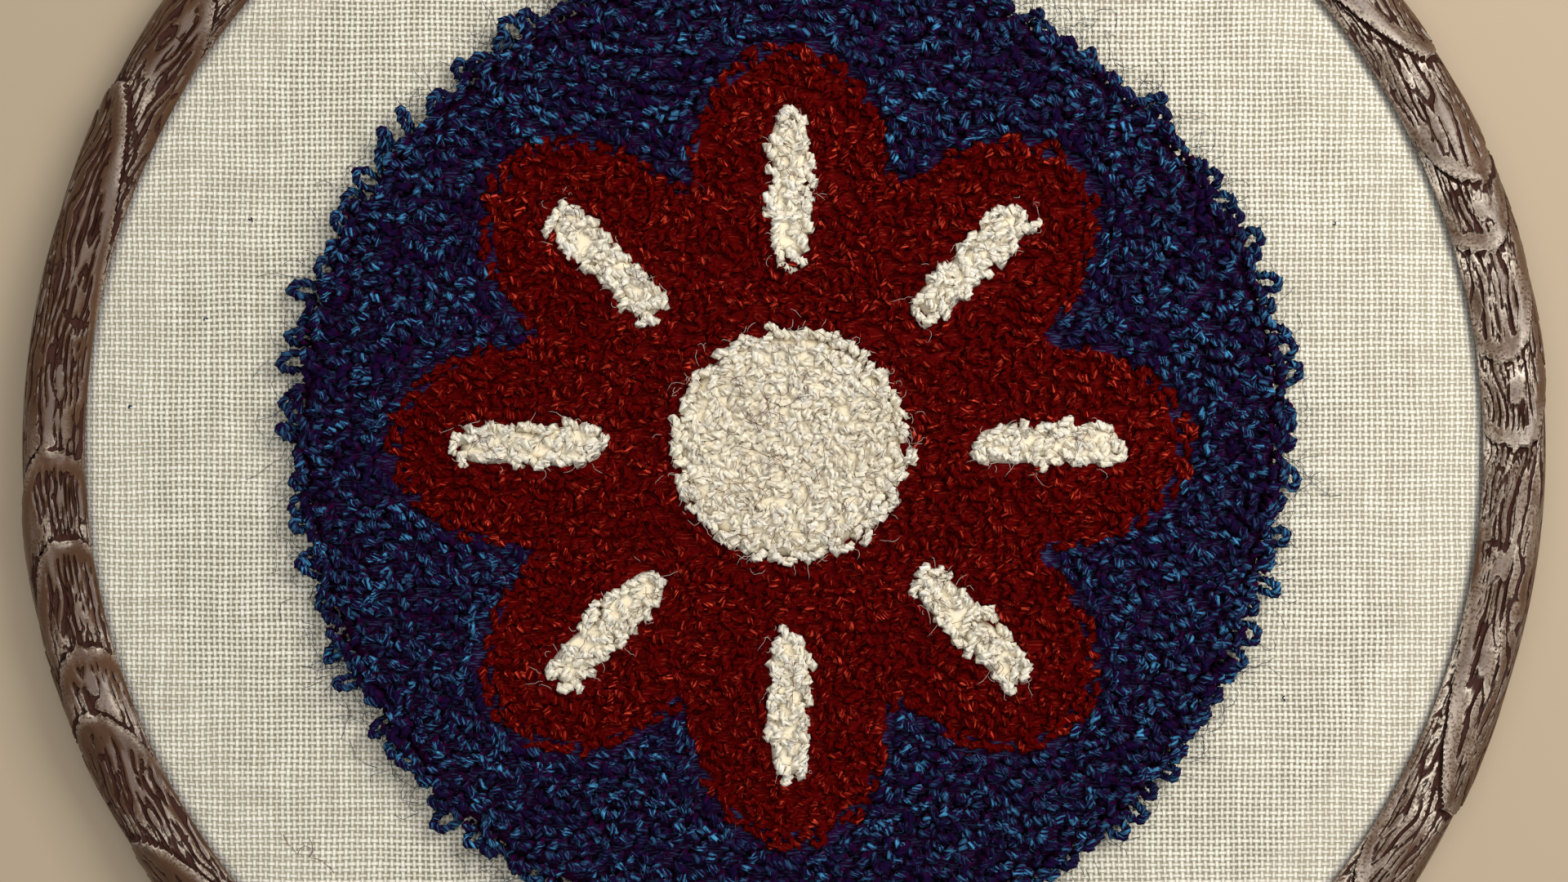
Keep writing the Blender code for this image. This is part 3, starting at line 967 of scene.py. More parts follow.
    def build(self, name: str, pieces: int = 1) -> list[bpy.types.Object]:
        """Makes the loops of the field and their bed.

        Args:
            name: The name of the piece, or the start of the names of several.
            pieces: How many pieces the loops are shared over.

        Returns:
            The pieces.
        """
        rng = np.random.default_rng(self.seed)
        spots, headings = self.lay_spots(rng)
        lines, square = self.loop_lines(spots, headings, rng)
        patches = [soft_noise(Vector((x / self.patch, y / self.patch, self.seed))) for x, y in spots]
        tones = rng.beta(1.1, 1.6, len(spots)) + self.patchy * np.array(patches)
        tones = np.clip(tones, 0.0, 1.0)
        made = []
        for part, members in enumerate(np.array_split(np.argsort(spots[:, 1]), pieces)):
            strands = StrandMesh()
            here = lines[members]
            lift = self.lift(here)
            strands.add_two_ply(here, square[members], self.yarn, self.sides, lift, tones[members], rng)
            if part == 0:
                strands.add_slab(*self.bed())
            made.append(strands.build(name if pieces == 1 else f"{name}_{part + 1}"))
        LOG.info("%s: %d loops", name, len(spots))
        return made


@dataclass
class RimLoops:
    """Open loops at the rim of the ground, which lean out over the cloth.

    Attributes:
        yarn: The yarn.
        outline: The ground's edge.
        count: How many loops there are.
        seed: The start of their chance numbers.
        steps: How many points a loop's line has.
        sides: How many sides a ply has.
        inset: How far inside the edge their feet stand.
        widths, reaches, tops: The least and greatest width, reach over the cloth and height.
        turned: How far a loop turns out of line, in radians.
        swing: How far it leans along the rim, as a share of its reach.
        jitter: How far its feet stand out of line.
    """

    yarn: Yarn
    outline: Outline
    count: int = 132
    seed: int = 21
    steps: int = 15
    sides: int = 4
    inset: float = 0.0006
    widths: tuple[float, float] = (0.0014, 0.0032)
    reaches: tuple[float, float] = (0.0004, 0.0030)
    tops: tuple[float, float] = (0.0012, 0.0036)
    turned: float = 0.22
    swing: float = 0.45
    jitter: float = 0.0004

    def build(self, name: str) -> bpy.types.Object:
        """Makes the loops as one mesh under the piece's name."""
        rng = np.random.default_rng(self.seed)
        rim = 2 * math.pi * np.linalg.norm(self.outline.curve, axis=1).mean()
        spots, headings = self.outline.row(self.inset, rim / self.count)
        count = len(spots)
        headings = headings + rng.normal(0.0, self.turned, count)
        width = rng.uniform(*self.widths, (count, 1))
        low, high = self.reaches
        reach = low + (high - low) * rng.beta(1.1, 1.8, (count, 1))
        top = rng.uniform(*self.tops, (count, 1))
        swing = rng.normal(0.0, self.swing, (count, 1))
        arc = np.sin(np.linspace(0.0, math.pi, self.steps))
        along = -width / 2 * np.cos(np.linspace(0.0, math.pi, self.steps)) * (0.45 + 0.55 * arc)
        out = reach * arc**0.9
        along = along + swing * out
        height = self.yarn.ply + 0.0002 + top * arc**0.7
        spots = spots + rng.normal(0.0, self.jitter, (count, 2))
        lines = laid_out(spots, headings, along, -out, CLOTH_TOP + height)
        cosine, sine = np.cos(headings)[:, None], np.sin(headings)[:, None]
        square = np.stack((sine * top / reach, -cosine * top / reach, -np.ones_like(sine)), axis=-1)
        strands = StrandMesh()
        lift = np.full(lines.shape[:2], 0.92)
        tones = rng.uniform(0.1, 0.9, count)
        square = np.broadcast_to(square, lines.shape)
        strands.add_two_ply(lines, square, self.yarn, self.sides, lift, tones, rng)
        return strands.build(name)


class HairPatch(Enum):
    """Stray hairs of one place: where they start, their least and greatest length, and their arch."""

    BLUE = (0.0108, (0.0010, 0.0030), 0.0012)
    RIM = (0.0072, (0.0015, 0.0050), 0.0026)
    CLOTH = (0.0069, (0.0020, 0.0070), 0.0004)
    RED = (0.0103, (0.0010, 0.0035), 0.0014)
    CENTRE = (0.0110, (0.0008, 0.0026), 0.0008)
    RED_ON_CENTRE = (0.0113, (0.0010, 0.0045), 0.0006)
    BAR = (0.0110, (0.0008, 0.0026), 0.0009)
    RED_ON_BAR = (0.0113, (0.0010, 0.0035), 0.0005)
    LINT = (0.00685, (0.0003, 0.0005), 0.0001)
    LOOSE_RED = (0.00685, (0.0030, 0.0036), 0.0002)


@dataclass
class StrayFibres:
    """Single hairs of wool that have worked loose from the yarn.

    Attributes:
        radius: A hair's radius.
        points: How many points its line has.
        sides: How many sides it has.
        strands: The hairs so far.
    """

    radius: float = 0.000030
    points: int = 6
    sides: int = 3
    strands: StrandMesh = field(default_factory=StrandMesh)

    def scatter(self, spots: np.ndarray, patch: HairPatch, rng: np.random.Generator) -> None:
        """Adds one curled hair at each spot.

        Args:
            spots: Where the hairs start, as rows of x and y.
            patch: What hairs of that place are like.
            rng: The source of chance.
        """
        start, lengths, arch = patch.value
        each = (len(spots), 1)
        share = np.linspace(0.0, 1.0, self.points)
        length = rng.uniform(*lengths, each) * rng.uniform(0.5, 1.0, each)
        heading = rng.uniform(0.0, TAU, each) + rng.normal(0.0, 1.5, each) * share
        heading = heading + rng.normal(0.0, 0.25, heading.shape)
        step = length / (self.points - 1)
        across = np.cumsum(np.cos(heading) * step, axis=1)
        up = np.cumsum(np.sin(heading) * step, axis=1)
        height = start + rng.uniform(0.2, 1.0, each) * arch * np.sin(math.pi * share)
        lines = np.stack((spots[:, :1] + across, spots[:, 1:] + up, height), axis=-1)
        lift = np.ones(lines.shape[:2])
        tones = rng.uniform(0.2, 1.0, len(spots))
        above = np.broadcast_to(UP, lines.shape)
        self.strands.add_tubes(lines, self.radius, self.sides, above, lift, tones)


@dataclass
class BackStitches:
    """The flat running stitches that the needle leaves on the back of the cloth.

    Attributes:
        width: Half the width of a stitch.
        length: Its length.
        height: The height of its middle.
        sunk: How much higher its ends lie, in the cloth.
        flat: Its thickness as a share of its width.
        strands: The stitches so far.
    """

    width: float = 0.00042
    length: float = 0.0016
    height: float = 0.00595
    sunk: float = 0.00025
    flat: float = 0.55
    strands: StrandMesh = field(default_factory=StrandMesh)

    def add(self, spots: np.ndarray, headings: np.ndarray, rng: np.random.Generator) -> None:
        """Adds one stitch under each loop.

        Args:
            spots: The loops' places.
            headings: The direction of their rows.
            rng: The source of chance.
        """
        count = len(spots)
        along = np.array((-0.5, 0.0, 0.5)) * self.length * rng.uniform(0.85, 1.1, (count, 1))
        turn = headings + rng.normal(0.0, 0.10, count)
        height = np.broadcast_to(self.height + np.array((self.sunk, 0.0, self.sunk)), along.shape)
        lines = laid_out(spots, turn, along, 0.0, height)
        tones = rng.uniform(0.2, 0.9, count)
        radius = np.broadcast_to(self.width * np.array((0.7, 1.0, 0.7)), along.shape)
        lift = np.full(lines.shape[:2], 0.8)
        self.strands.add_tubes(
            lines, radius, 3, np.broadcast_to(UP, lines.shape), lift, tones, flat=self.flat
        )


@dataclass
class StretchedCloth:
    """The cloth, flat in the hoop and turned down between the two rings.

    Attributes:
        thickness: The sheet's thickness.
        wall_radius: The radius of its turned-down wall.
        bend_radius: The radius of the bend.
        hem_height: The height of its lower edge.
        first_ring: The radius of the disc that it is drawn from.
        steps, flat_rings, bend_steps: How many points and rings it has.
        pucker: How far the stitches pull it down.
        pucker_radius, pucker_width: Where they do, and how far from there.
        dip: How far it dips at the lip of the outer ring.
    """

    thickness: float = 0.0006
    wall_radius: float = 0.0776
    bend_radius: float = 0.0024
    hem_height: float = 0.0010
    first_ring: float = 0.004
    steps: int = 180
    flat_rings: int = 28
    bend_steps: int = 6
    pucker: float = 0.00010
    pucker_radius: float = 0.054
    pucker_width: float = 0.006
    dip: float = 0.00035

    def middle(self) -> float:
        """The height of the flat sheet's middle."""
        return CLOTH_TOP - self.thickness / 2

    def profile(self) -> list[tuple[float, float]]:
        """The radius and height of each ring of the sheet's middle, from the inside out."""
        middle = self.middle()
        start = self.wall_radius - self.bend_radius
        rings = [
            (self.first_ring + (start - self.first_ring) * i / self.flat_rings, middle)
            for i in range(1, self.flat_rings + 1)
        ]
        for i in range(1, self.bend_steps + 1):
            turn = math.pi / 2 * i / self.bend_steps
            radius = start + self.bend_radius * math.sin(turn)
            rings.append((radius, middle - self.bend_radius * (1.0 - math.cos(turn))))
        rings.append((self.wall_radius, (self.hem_height + rings[-1][1]) / 2))
        rings.append((self.wall_radius, self.hem_height))
        return rings

    def flat_radius(self) -> float:
        """The radius that the sheet was cut to."""
        start = self.wall_radius - self.bend_radius
        wall = self.middle() - self.bend_radius - self.hem_height
        return start + math.pi / 2 * self.bend_radius + wall

    def build(self, name: str) -> bpy.types.Object:
        """Makes the sheet under the piece's name from a disc that is drawn out ring by ring."""
        middle = self.middle()
        bpy.ops.object.select_all(action="DESELECT")
        bpy.ops.mesh.primitive_circle_add(
            vertices=self.steps, radius=self.first_ring, fill_type="TRIFAN", location=(0.0, 0.0, middle)
        )
        cloth = added_object(name)
        bpy.ops.object.transform_apply(location=True, rotation=True, scale=True)
        bpy.ops.object.mode_set(mode="EDIT")
        bpy.ops.mesh.select_all(action="SELECT")
        bpy.ops.mesh.region_to_loop()
        radius, height = self.first_ring, middle
        for next_radius, next_height in self.profile():
            drop = {"value": (0.0, 0.0, next_height - height)}
            bpy.ops.mesh.extrude_region_move(TRANSFORM_OT_translate=drop)
            growth = next_radius / radius
            bpy.ops.transform.resize(value=(growth, growth, 1.0), center_override=(0.0, 0.0, 0.0))
            radius, height = next_radius, next_height
        bpy.ops.object.mode_set(mode="OBJECT")
        self.add_puckers(cloth.data)
        if cloth.data.polygons[0].normal.z < 0:
            cloth.data.flip_normals()
        sheet = cloth.modifiers.new("Sheet", "SOLIDIFY")
        sheet.thickness = self.thickness
        sheet.offset = 0.0
        bpy.ops.object.modifier_apply(modifier=sheet.name)
        cloth.data.shade_smooth()
        return cloth

    def add_puckers(self, mesh: bpy.types.Mesh) -> None:
        """Lowers the flat of the sheet a little where the stitches and the lip pull at it."""
        points = read_points(mesh)
        radius = np.hypot(points[:, 0], points[:, 1])
        turn = np.arctan2(points[:, 1], points[:, 0])
        pull = np.sin(23 * turn + 3.0 * np.sin(5 * turn)) + 0.6 * np.sin(41 * turn + 1.0)
        near = np.exp(-(((radius - self.pucker_radius) / self.pucker_width) ** 2))
        points[:, 2] -= self.pucker * near * (0.5 + 0.4 * pull)
        points[:, 2] -= self.dip * smooth(radius, 0.0732, 0.0750) * (1.0 - smooth(radius, 0.0756, 0.0770))
        write_points(mesh, points)


@dataclass(frozen=True)
class BarkTongue:
    """One overlapping plate of bark in the moulding's repeat.

    Attributes:
        length: From its tip to the next one's, along the ring.
        tip: Where its tip lies across the ring's front, 0 at the opening and 1 outside.
        back_in: How far its edge runs back at the opening.
        back_out: How far its edge runs back at the outer side.
    """

    length: float
    tip: float
    back_in: float
    back_out: float


@dataclass
class OuterRing:
    """The soft outer ring: a wall with a rounded front, moulded as bark, and a lip over the cloth.

    Attributes:
        outer_radius, opening_radius, wall_radius: Its outside, its opening and its wall's inside.
        crown_height, edge_height: The heights of its front's crown and of the outer wall.
        lip_height, lip_edge: The heights of its lip's underside and of the lip's edge.
        foot_bevel: The bevel at its foot.
        tongues, repeats: The plates of bark in one repeat, and how many repeats go round.
        rise, run: How far a plate stands over the next, and how far back it thickens.
        rim: Width of the plain band along a plate's edge.
        curl: How late a plate's outer side turns back.
        front_length: Length of the section over the front.
        channel_depth, channel_pitch: The depth of the grooves and the distance between them.
        crease: Width of the dark line at a plate's edge.
        grain_radius: The radius at which the grain's lengths hold.
        around, front_rows: How many points it has round it and over its front.
    """

    outer_radius: float = 0.0827
    opening_radius: float = 0.0750
    crown_height: float = 0.0098
    edge_height: float = 0.0052
    lip_height: float = 0.0071
    lip_edge: float = 0.0074
    wall_radius: float = 0.0784
    foot_bevel: float = 0.0009
    tongues: tuple[BarkTongue, ...] = (
        BarkTongue(0.0400, 0.72, 0.0230, 0.0060),
        BarkTongue(0.0140, 0.58, 0.0085, 0.0090),
        BarkTongue(0.0072, 0.45, 0.0022, 0.0150),
        BarkTongue(0.0120, 0.38, 0.0016, 0.0190),
        BarkTongue(0.0096, 0.46, 0.0020, 0.0170),
    )
    repeats: int = 6
    rise: float = 0.00055
    run: float = 0.0030
    rim: float = 0.0019
    curl: float = 2.5
    front_length: float = 0.0112
    channel_depth: float = 0.00032
    channel_pitch: float = 0.00088
    crease: float = 0.00036
    grain_radius: float = 0.079
    around: int = 960
    front_rows: int = 70

    def total(self) -> float:
        """The length of all the plates round the ring."""
        return self.repeats * sum(tongue.length for tongue in self.tongues)

    def middle_radius(self) -> float:
        """The radius halfway between the opening and the outer side."""
        return (self.outer_radius + self.opening_radius) / 2

    def back_section(self) -> list[tuple[float, float]]:
        """The section's radius and height from the opening under the lip, down and round the foot."""
        foot = self.foot_bevel
        wall, outer = self.wall_radius, self.outer_radius
        return [
            (self.opening_radius + 0.0001, self.lip_height + 0.0001),
            (self.opening_radius + 0.0003, self.lip_height),
            (wall - 0.0003, self.lip_height),
            (wall, self.lip_height - 0.0003),
            (wall, 0.0003),
            (wall + 0.0003, 0.0),
            (outer - foot - 0.0003, 0.0),
            (outer - foot, 0.0),
            (outer, foot),
        ]

    def front_section(self) -> tuple[np.ndarray, np.ndarray]:
        """Spaces rows evenly up the outer wall and over the rounded front.

        Returns:
            The share across of each row, from 1 at the outer side to 0 at the opening and above 1
            on the wall, and its radius and height.
        """
        fine = np.linspace(1.0, 0.0, 2001)
        turn = math.pi * (1.0 - fine)
        half = (self.outer_radius - self.opening_radius) / 2
        side = np.where(fine < 0.5, self.lip_edge, self.edge_height)
        radius = self.opening_radius + half * (1.0 + np.cos(turn))
        height = side + (self.crown_height - side) * np.sin(turn)
        rise = np.linspace(self.foot_bevel + 0.0003, self.edge_height, 400, endpoint=False)
        wall = np.stack((np.full(400, self.outer_radius), rise), axis=1)
        curve = np.concatenate((wall, np.stack((radius, height), axis=1)))
        fine = np.concatenate((1.0 + (self.edge_height - rise) / self.front_length, fine))
        reach = run_length(curve)
        stops = np.linspace(0.0, reach[-1], self.front_rows)
        return np.interp(stops, reach, fine), sample(stops, reach, curve)

    def edges(self, along: np.ndarray, across: np.ndarray) -> tuple[np.ndarray, np.ndarray]:
        """Measures how far each place is from the tongues' edges.

        Args:
            along: The place along the ring, clockwise.
            across: The place across its front.

        Returns:
            The least distance to the next edge ahead, and to the last one behind.
        """
        total = self.total()
        ahead = np.full(along.shape, total)
        behind = np.full(along.shape, total)
        tip = 0.0
        for tongue in self.tongues * self.repeats:
            tip += tongue.length
            inner = np.clip((tongue.tip - across) / tongue.tip, 0.0, 1.0)
            outer = np.clip((across - tongue.tip) / (1.0 - tongue.tip), 0.0, 1.0)
            back = tongue.back_in * inner**2.0 + tongue.back_out * outer**self.curl
            to_edge = (tip - back - along) % total
            bow_in = 2.0 * tongue.back_in * inner / tongue.tip
            slant = self.curl * outer ** (self.curl - 1.0) * (across < 1.0)
            bow_out = slant * tongue.back_out / (1.0 - tongue.tip)
            square = np.sqrt(1.0 + ((bow_in + bow_out) / self.front_length) ** 2)
            ahead = np.minimum(ahead, to_edge / square)
            behind = np.minimum(behind, (total - to_edge) / square)
        return ahead, behind

    def carve(
        self, angle: np.ndarray, across: np.ndarray, arc: np.ndarray
    ) -> tuple[np.ndarray, np.ndarray, np.ndarray]:
        """Draws the bark: plates with raised lips, and the channels between them.

        Args:
            angle: The angle round the ring of each place.
            across: The share across its front.
            arc: The distance across its front.

        Returns:
            The relief, below 0 where it sinks, a field that is above 0 in the stained grooves, and
            how much painted highlight each place gets.
        """
        along = (-angle / TAU) % 1.0 * self.total()
        circle = self.grain_radius * np.stack((np.cos(angle), np.sin(angle)), axis=-1)

        def grain(length: float, width: float, seed: float, place: np.ndarray = arc) -> np.ndarray:
            """Noise whose grains have a length along the ring and a width across it."""
            stretched = np.concatenate((circle / length, (place / width + seed)[..., None]), axis=-1)
            flat = [soft_noise(Vector(spot)) for spot in stretched.reshape(-1, 3)]
            return np.reshape(flat, arc.shape)

        # Plates with a plain band along their edges.
        bend = 0.0011 * grain(0.012, 0.005, 3.0) + 0.0003 * grain(0.0035, 0.002, 9.0)
        ragged = 0.0008 * grain(0.0030, 0.0012, 15.0)
        ahead, behind = self.edges(along + 0.6 * ragged, across)
        strip = grain(0.022, 0.0023, 31.0, arc + bend)
        rim = 1.0 - smooth(ahead + ragged, self.rim - 0.0003, self.rim + 0.0002)
        rim = rim * (1.0 - 0.9 * smooth(across, 0.73, 0.82))
        plain = np.maximum(rim, smooth(strip, 0.56, 0.62))

        # Long grooves, the outlines of knots, cracks across and short wavy marks behind an edge.
        wave = np.sin(TAU * (arc + 2.0 * bend) / self.channel_pitch)
        lines = 0.90 * wave + 0.75 * grain(0.0065, 0.00058, 47.0, arc + bend)
        leaf = grain(0.0048, 0.00110, 91.0, arc + bend)
        leaves = 5.0 * (0.055 - np.abs(leaf - 0.16)) - 2.0 * smooth(across, 0.60, 0.75)
        breaks = grain(0.0011, 0.0030, 55.0)
        worms = 4.0 * (0.075 - np.abs(grain(0.0019, 0.00095, 63.0)))
        near = 1.0 - smooth(behind, 0.0012, 0.0032)
        inside = smooth(leaf, 0.19, 0.23) * (1.0 - smooth(across, 0.6, 0.7))
        channel = np.maximum(np.maximum(lines - 0.40 - 1.2 * inside, leaves), 3.0 * (breaks - 0.60))
        carving = channel + near * (np.maximum(channel, worms) - channel) - 2.5 * plain

        # The dark line at each edge, and the relief of it all.
        crease = self.crease * (1.0 + 0.8 * smooth(across, 0.60, 0.80))
        lip = 1.0 - np.minimum(ahead * 3.0, behind * 1.2) / crease
        carving = np.clip(np.maximum(carving, lip), -1.0, 1.0)
        sunk = self.channel_depth * smooth(carving, -0.10, 0.45)
        rise = self.rise * np.clip(1.0 - ahead / self.run, 0.0, 1.0)
        relief = rise - self.rise * (1.0 + 0.3 * smooth(lip, 0.0, 1.0)) - sunk
        fade = np.minimum(1.0, 9.0 * np.minimum(across, across.max() - across))

        # Painted highlight on what faces the opening, stronger on the side of the ring towards the key
        # light.
        inward = 1.0 - smooth(across, 0.55, 0.85)
        # Grain that breaks up the painted highlight.
        highlight_breakup = np.clip(0.65 + 0.9 * grain(0.0045, 0.0016, 83.0), 0.0, 1.0)
        lips = 1.0 - smooth(ahead, 0.0001, 0.0013)
        # The side of the ring towards the key light gets more painted highlight.
        lit_side = 0.5 + 0.5 * np.cos(angle)
        painted_highlight = highlight_breakup * inward * (np.maximum(lips, 0.55 * near) * (0.9 + 1.0 * lit_side) + 0.65 * lit_side**2)
        marks = np.where(fade < 0.5, np.minimum(carving, 4.0 * fade - 1.0), carving)
        return fade * relief, marks, np.clip(painted_highlight, 0.0, 1.0)

    def build(self, name: str) -> bpy.types.Object:
        """Makes the ring under the piece's name, with its groove and painted highlight attributes."""
        across, front = self.front_section()
        back = self.back_section()
        rows = len(front) + len(back)
        ring = self.spin_ring(name, rows)
        angle = np.arange(self.around) / self.around * TAU
        spread = np.broadcast_to(angle[:, None], (self.around, len(front)))
        relief, groove, painted_highlight = self.carve(
            spread, np.broadcast_to(across, spread.shape), np.broadcast_to(run_length(front), spread.shape)
        )
        slope = unit(np.gradient(front, axis=0))
        outward = np.stack((slope[:, 1], -slope[:, 0]), axis=1)
        section = np.broadcast_to(np.concatenate((front, back)), (self.around, rows, 2)).copy()
        section[:, : len(front)] += relief[..., None] * outward
        radius, height = section[..., 0], section[..., 1]
        turned = (radius * np.cos(angle)[:, None], radius * np.sin(angle)[:, None], height)
        points = read_points(ring.data)
        step = np.round(np.arctan2(points[:, 1], points[:, 0]) / TAU * self.around).astype(int)
        out = np.hypot(points[:, 0], points[:, 1]) - self.middle_radius()
        row = np.round(np.arctan2(points[:, 2], out) / TAU * rows).astype(int)
        place = (step % self.around, row % rows)
        write_points(ring.data, np.stack(turned, axis=-1)[place])
        for attribute, values, plain in (("groove", groove, -0.5), ("painted_highlight", painted_highlight, 0.0)):
            whole = np.full((self.around, rows), plain)
            whole[:, : len(front)] = values
            write_attribute(ring.data, attribute, whole[place])
        bpy.ops.object.shade_smooth_by_angle(angle=math.radians(50.0))
        return ring

    def spin_ring(self, name: str, rows: int) -> bpy.types.Object:
        """Turns a round section of evenly spaced rows once round Z.

        Args:
            name: The piece's name.
            rows: How many rows the section has.

        Returns:
            A plain ring, whose points are shaped later.
        """
        middle = self.middle_radius()
        half = self.outer_radius - middle
        bpy.ops.object.select_all(action="DESELECT")
        bpy.ops.mesh.primitive_circle_add(
            vertices=rows, radius=half, location=(middle, 0.0, 0.0), rotation=(math.pi / 2, 0.0, 0.0)
        )
        ring = added_object(name)
        bpy.ops.object.transform_apply(location=True, rotation=True, scale=True)
        turn = np.arange(rows) / rows * TAU
        section = (middle + half * np.cos(turn), np.zeros(rows), half * np.sin(turn))
        write_points(ring.data, np.stack(section, axis=1))
        turned = ring.modifiers.new("Turned", "SCREW")
        turned.axis = "Z"
        turned.angle = TAU
        turned.steps = turned.render_steps = self.around
        turned.use_merge_vertices = True
        turned.merge_threshold = 0.00001
        bpy.ops.object.modifier_apply(modifier=turned.name)
        bpy.ops.object.mode_set(mode="EDIT")
        bpy.ops.mesh.select_all(action="SELECT")
        bpy.ops.mesh.normals_make_consistent(inside=False)
        bpy.ops.object.mode_set(mode="OBJECT")
        return ring


@dataclass(frozen=True)
class SoftLight:
    """One square soft light that faces the piece.

    Attributes:
        name: Its name.
        place: Where it hangs.
        size: The length of its side.
        power: Its watts.
        colour: Its sRGB colour.
    """

    name: str
    place: tuple[float, float, float]
    size: float
    power: float
    colour: str

    def build(self) -> None:
        """Adds the light."""
        data = bpy.data.lights.new(self.name, "AREA")
        data.size = self.size
        data.energy = self.power
        data.color = linear(self.colour)[:3]
        lamp = bpy.data.objects.new(self.name, data)
        lamp.location = self.place
        lamp.rotation_euler = (-Vector(self.place)).to_track_quat("-Z", "Y").to_euler()
        bpy.context.collection.objects.link(lamp)


@dataclass
class Studio:
    """The plain floor, the lights and the camera.

    Attributes:
        view_width, view_middle, view_height: The width, middle and height of what fills the frame.
        camera_height: The camera's height over the floor.
        sensor: The width of its sensor, in millimetres.
        lights: The key light and the fill light.
        sky, sky_colour: The strength and colour of the light from all round.
        floor_size: The length of the floor's side.
    """

    view_width: float = 0.1676
    view_middle: tuple[float, float] = (0.0, 0.00087)
    view_height: float = 0.0085
    camera_height: float = 0.300
    sensor: float = 36.0
    lights: tuple[SoftLight, ...] = (
        SoftLight("key_light", (0.19, 0.13, 0.33), 0.18, 1.15, "#fff8ee"),
        SoftLight("fill_light", (-0.02, 0.02, 0.46), 0.34, 1.10, "#fcf8f3"),
    )
    sky: float = 0.22
    sky_colour: str = "#f5f2ee"
    floor_size: float = 3.0

    def build(self) -> None:
        """Adds the floor, the lights, the sky and the camera."""
        bpy.ops.object.select_all(action="DESELECT")
        bpy.ops.mesh.primitive_plane_add(size=self.floor_size, location=(0.0, 0.0, 0.0))
        floor = added_object("floor_board")
        floor.data.materials.append(PaintedBoard().build())
        for light in self.lights:
            light.build()
        world = bpy.data.worlds.new("studio_sky")
        world.use_nodes = True
        sky = {"Color": linear(self.sky_colour), "Strength": self.sky}
        feed(world.node_tree, world.node_tree.nodes["Background"], sky)
        bpy.context.scene.world = world
        bpy.context.scene.view_settings.view_transform = "Standard"
        data = bpy.data.cameras.new("camera")
        data.sensor_width = self.sensor
        data.lens = self.sensor * (self.camera_height - self.view_height) / self.view_width
        data.clip_start = 0.01
        camera = bpy.data.objects.new("camera", data)
        camera.location = (*self.view_middle, self.camera_height)
        bpy.context.collection.objects.link(camera)
        bpy.context.scene.camera = camera


def build_hoop() -> None:
    """Builds the outer ring and the cloth, and gives the inner ring's own solid its finish."""
    ring = OuterRing().build("hoop_outer_bark")
    finish_piece(ring, MouldedBark().build(), "vinyl_bark", "hoop_outer")
    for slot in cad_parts["hoop_inner"].material_slots:
        slot.material = MouldedPlastic().build()
    LOG.info("hoop_inner: dressed")
    sheet = StretchedCloth()
    cloth = sheet.build("cotton_sheet")
    finish_piece(cloth, PlainWeave().build(), "cotton_cloth", "ground_cloth")
    radius = sheet.flat_radius()


def ring_spots(middle: np.ndarray, radii: np.ndarray, rng: np.random.Generator) -> np.ndarray:
    """Places spots all round a middle, one at each radius."""
    turn = rng.uniform(0.0, TAU, len(radii))
    return middle + np.stack((np.cos(turn), np.sin(turn)), axis=1) * radii[:, None]


def disc_spots(
    middle: np.ndarray, radius: float, count: int, rng: np.random.Generator, hollow: float = 0.0
) -> np.ndarray:
    """Places spots evenly over a disc.

    Args:
        middle: The disc's middle.
        radius: Its radius.
        count: How many spots.
        rng: The source of chance.
        hollow: How much of the disc's area is left free round its middle.

    Returns:
        The spots, as rows of x and y.
    """
    return ring_spots(middle, radius * np.sqrt(rng.uniform(hollow, 1.0, count)), rng)


def scatter_hairs(design: Design, rng: np.random.Generator) -> dict[str, StrayFibres]:
    """Scatters the stray hairs of each yarn over the pile and past the ground's rim.

    Args:
        design: The stitched design.
        rng: The source of chance.

    Returns:
        The hairs by the name of their colour.
    """
    middle = np.array(design.middle)
    flower = design.flower()
    hairs = {name: StrayFibres() for name in ("blue", "red", "white")}
    hairs["specks"] = StrayFibres(radius=0.00008)
    over = disc_spots(middle, 0.052, 900, rng, hollow=0.2)
    hairs["blue"].scatter(over[flower.depth(over) < 0.0], HairPatch.BLUE, rng)
    rim = ring_spots(middle, rng.normal(0.0532, 0.0009, 1100), rng)
    hairs["blue"].scatter(rim, HairPatch.RIM, rng)
    past = ring_spots(middle, rng.uniform(0.0530, 0.0570, 90), rng)
    hairs["blue"].scatter(past, HairPatch.CLOTH, rng)
    over = disc_spots(middle, 0.042, 900, rng)
    hairs["red"].scatter(over[flower.depth(over) > 0.0], HairPatch.RED, rng)
    hairs["red"].scatter(disc_spots(middle, 0.0125, 130, rng), HairPatch.RED_ON_CENTRE, rng)
    hairs["white"].scatter(disc_spots(middle, 0.0136, 420, rng), HairPatch.CENTRE, rng)
    lint = [(-0.0705, 0.0046), (-0.0622, 0.0141), (-0.0572, 0.0246), (0.0593, 0.0242), (0.0537, -0.0268)]
    hairs["specks"].scatter(np.repeat(lint, 3, axis=0), HairPatch.LINT, rng)
    hairs["red"].scatter(np.array([(-0.0515, -0.0441)] * 4), HairPatch.LOOSE_RED, rng)
    for number in range(design.petals):
        bar = design.bar(number)
        spots = bar.middle + rng.uniform(-0.0085, 0.0085, (110, 2))
        near = spots[bar.depth(spots) > -0.0006]
        hairs["white"].scatter(near, HairPatch.BAR, rng)
        hairs["red"].scatter(near[::4], HairPatch.RED_ON_BAR, rng)
    return hairs


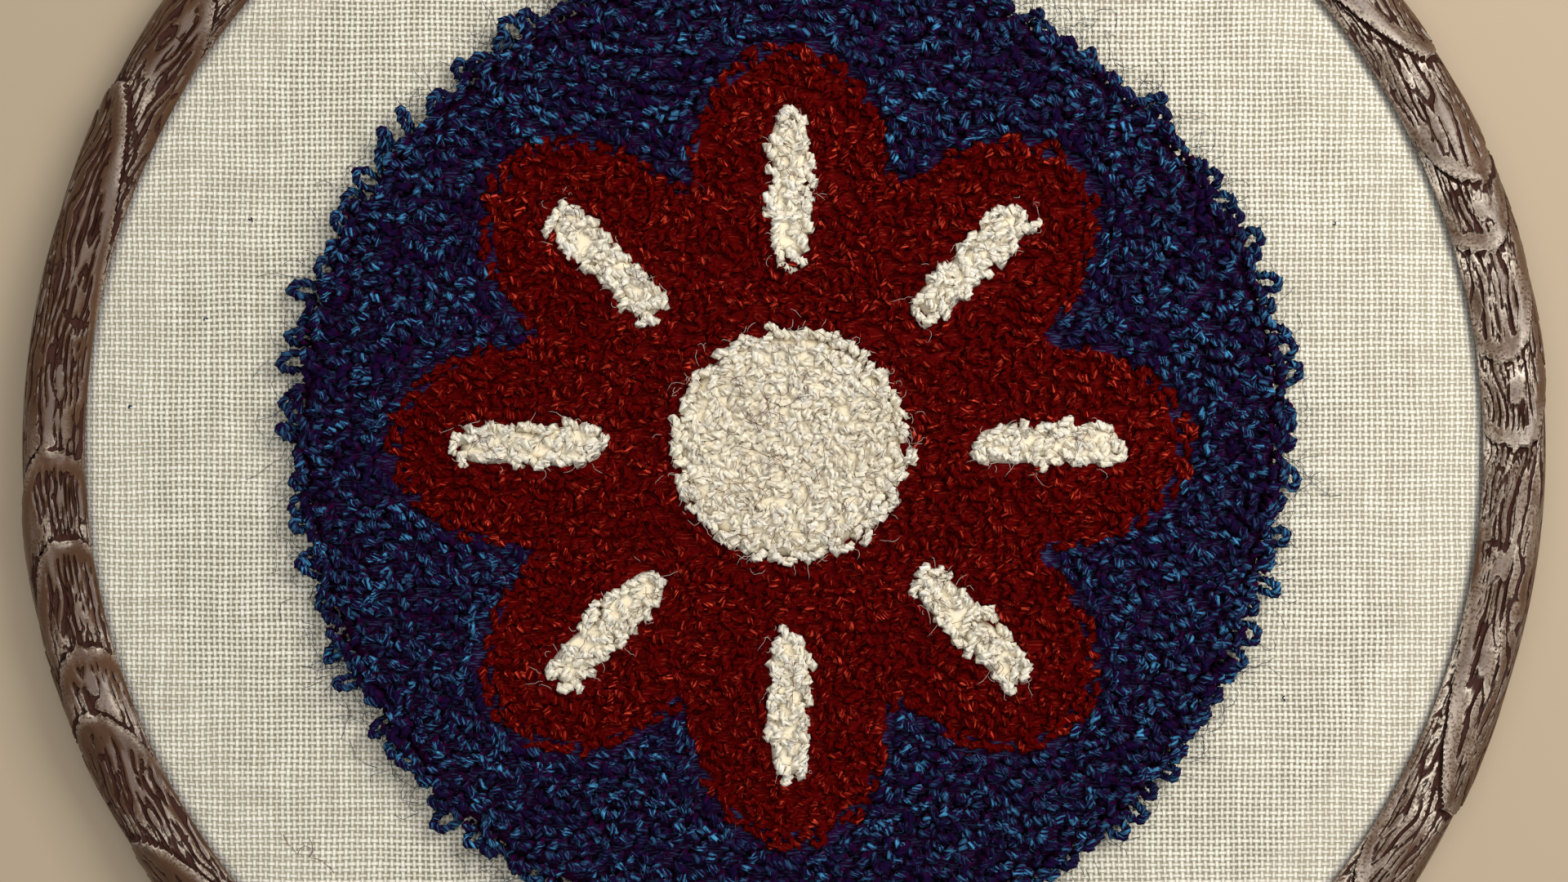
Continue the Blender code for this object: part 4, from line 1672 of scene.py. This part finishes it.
def build_pile() -> None:
    """Builds the loops, their stray hairs and the stitches on the back."""
    design = Design()
    ground, flower, centre = design.ground(), design.flower(), design.centre()
    bars = [design.bar(i) for i in range(design.petals)]
    blue, red, white = (colour.value for colour in YarnColour)
    wools = {name: yarn.finish.build() for name, yarn in zip(("blue", "red", "white"), (blue, red, white))}
    fields = {
        "blue": PileField(blue, ground, (flower,), seed=11),
        "red": PileField(red, flower, (centre, *bars), seed=12),
        "white": PileField(white, centre, seed=13),
    }
    bar_fields = [PileField(white, bar, seed=14 + i) for i, bar in enumerate(bars)]
    ragged = 0.00036
    for colour, node in (("blue", "pile_blue_ground"), ("red", "pile_red_flower")):
        for piece in fields[colour].build(f"{colour}_loops", pieces=2):
            finish_piece(piece, wools[colour], f"wool_{colour}", node)
    whites = {"white_centre_loops": (fields["white"], "pile_white_centre")}
    for i, pile in enumerate(bar_fields):
        whites[f"white_bar_loops_{i + 1}"] = (pile, f"pile_white_bar_{i + 1}")
    for name, (pile, node) in whites.items():
        for piece in replace(pile, edge_jitter=ragged).build(name):
            finish_piece(piece, wools["white"], "wool_white", node)
    finish_piece(RimLoops(blue, ground).build("blue_rim_loops"), wools["blue"], "wool_blue")

    rng = np.random.default_rng(41)
    for colour, pile in fields.items():
        stitches = BackStitches()
        stitches.add(*pile.lay_spots(np.random.default_rng(pile.seed)), rng)
        for i, part in enumerate(bar_fields if colour == "white" else ()):
            spots, _ = part.lay_spots(np.random.default_rng(part.seed))
            stitches.add(spots, np.full(len(spots), i / design.petals * TAU), rng)
        piece = stitches.strands.build(f"{colour}_back_stitches")
        finish_piece(piece, wools[colour], f"wool_{colour}")
    hairs = scatter_hairs(design, rng)
    for colour, wool in wools.items():
        finish_piece(hairs[colour].strands.build(f"{colour}_stray_hairs"), wool, f"wool_{colour}")
    finish_piece(hairs["specks"].strands.build("lint_specks"), wools["blue"], "wool_blue")


def main() -> None:
    """Builds the scene piece by piece."""
    logging.basicConfig(level=logging.INFO, format="%(message)s")
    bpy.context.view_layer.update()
    Studio().build()
    build_hoop()
    build_pile()


if __name__ == "__main__":
    main()
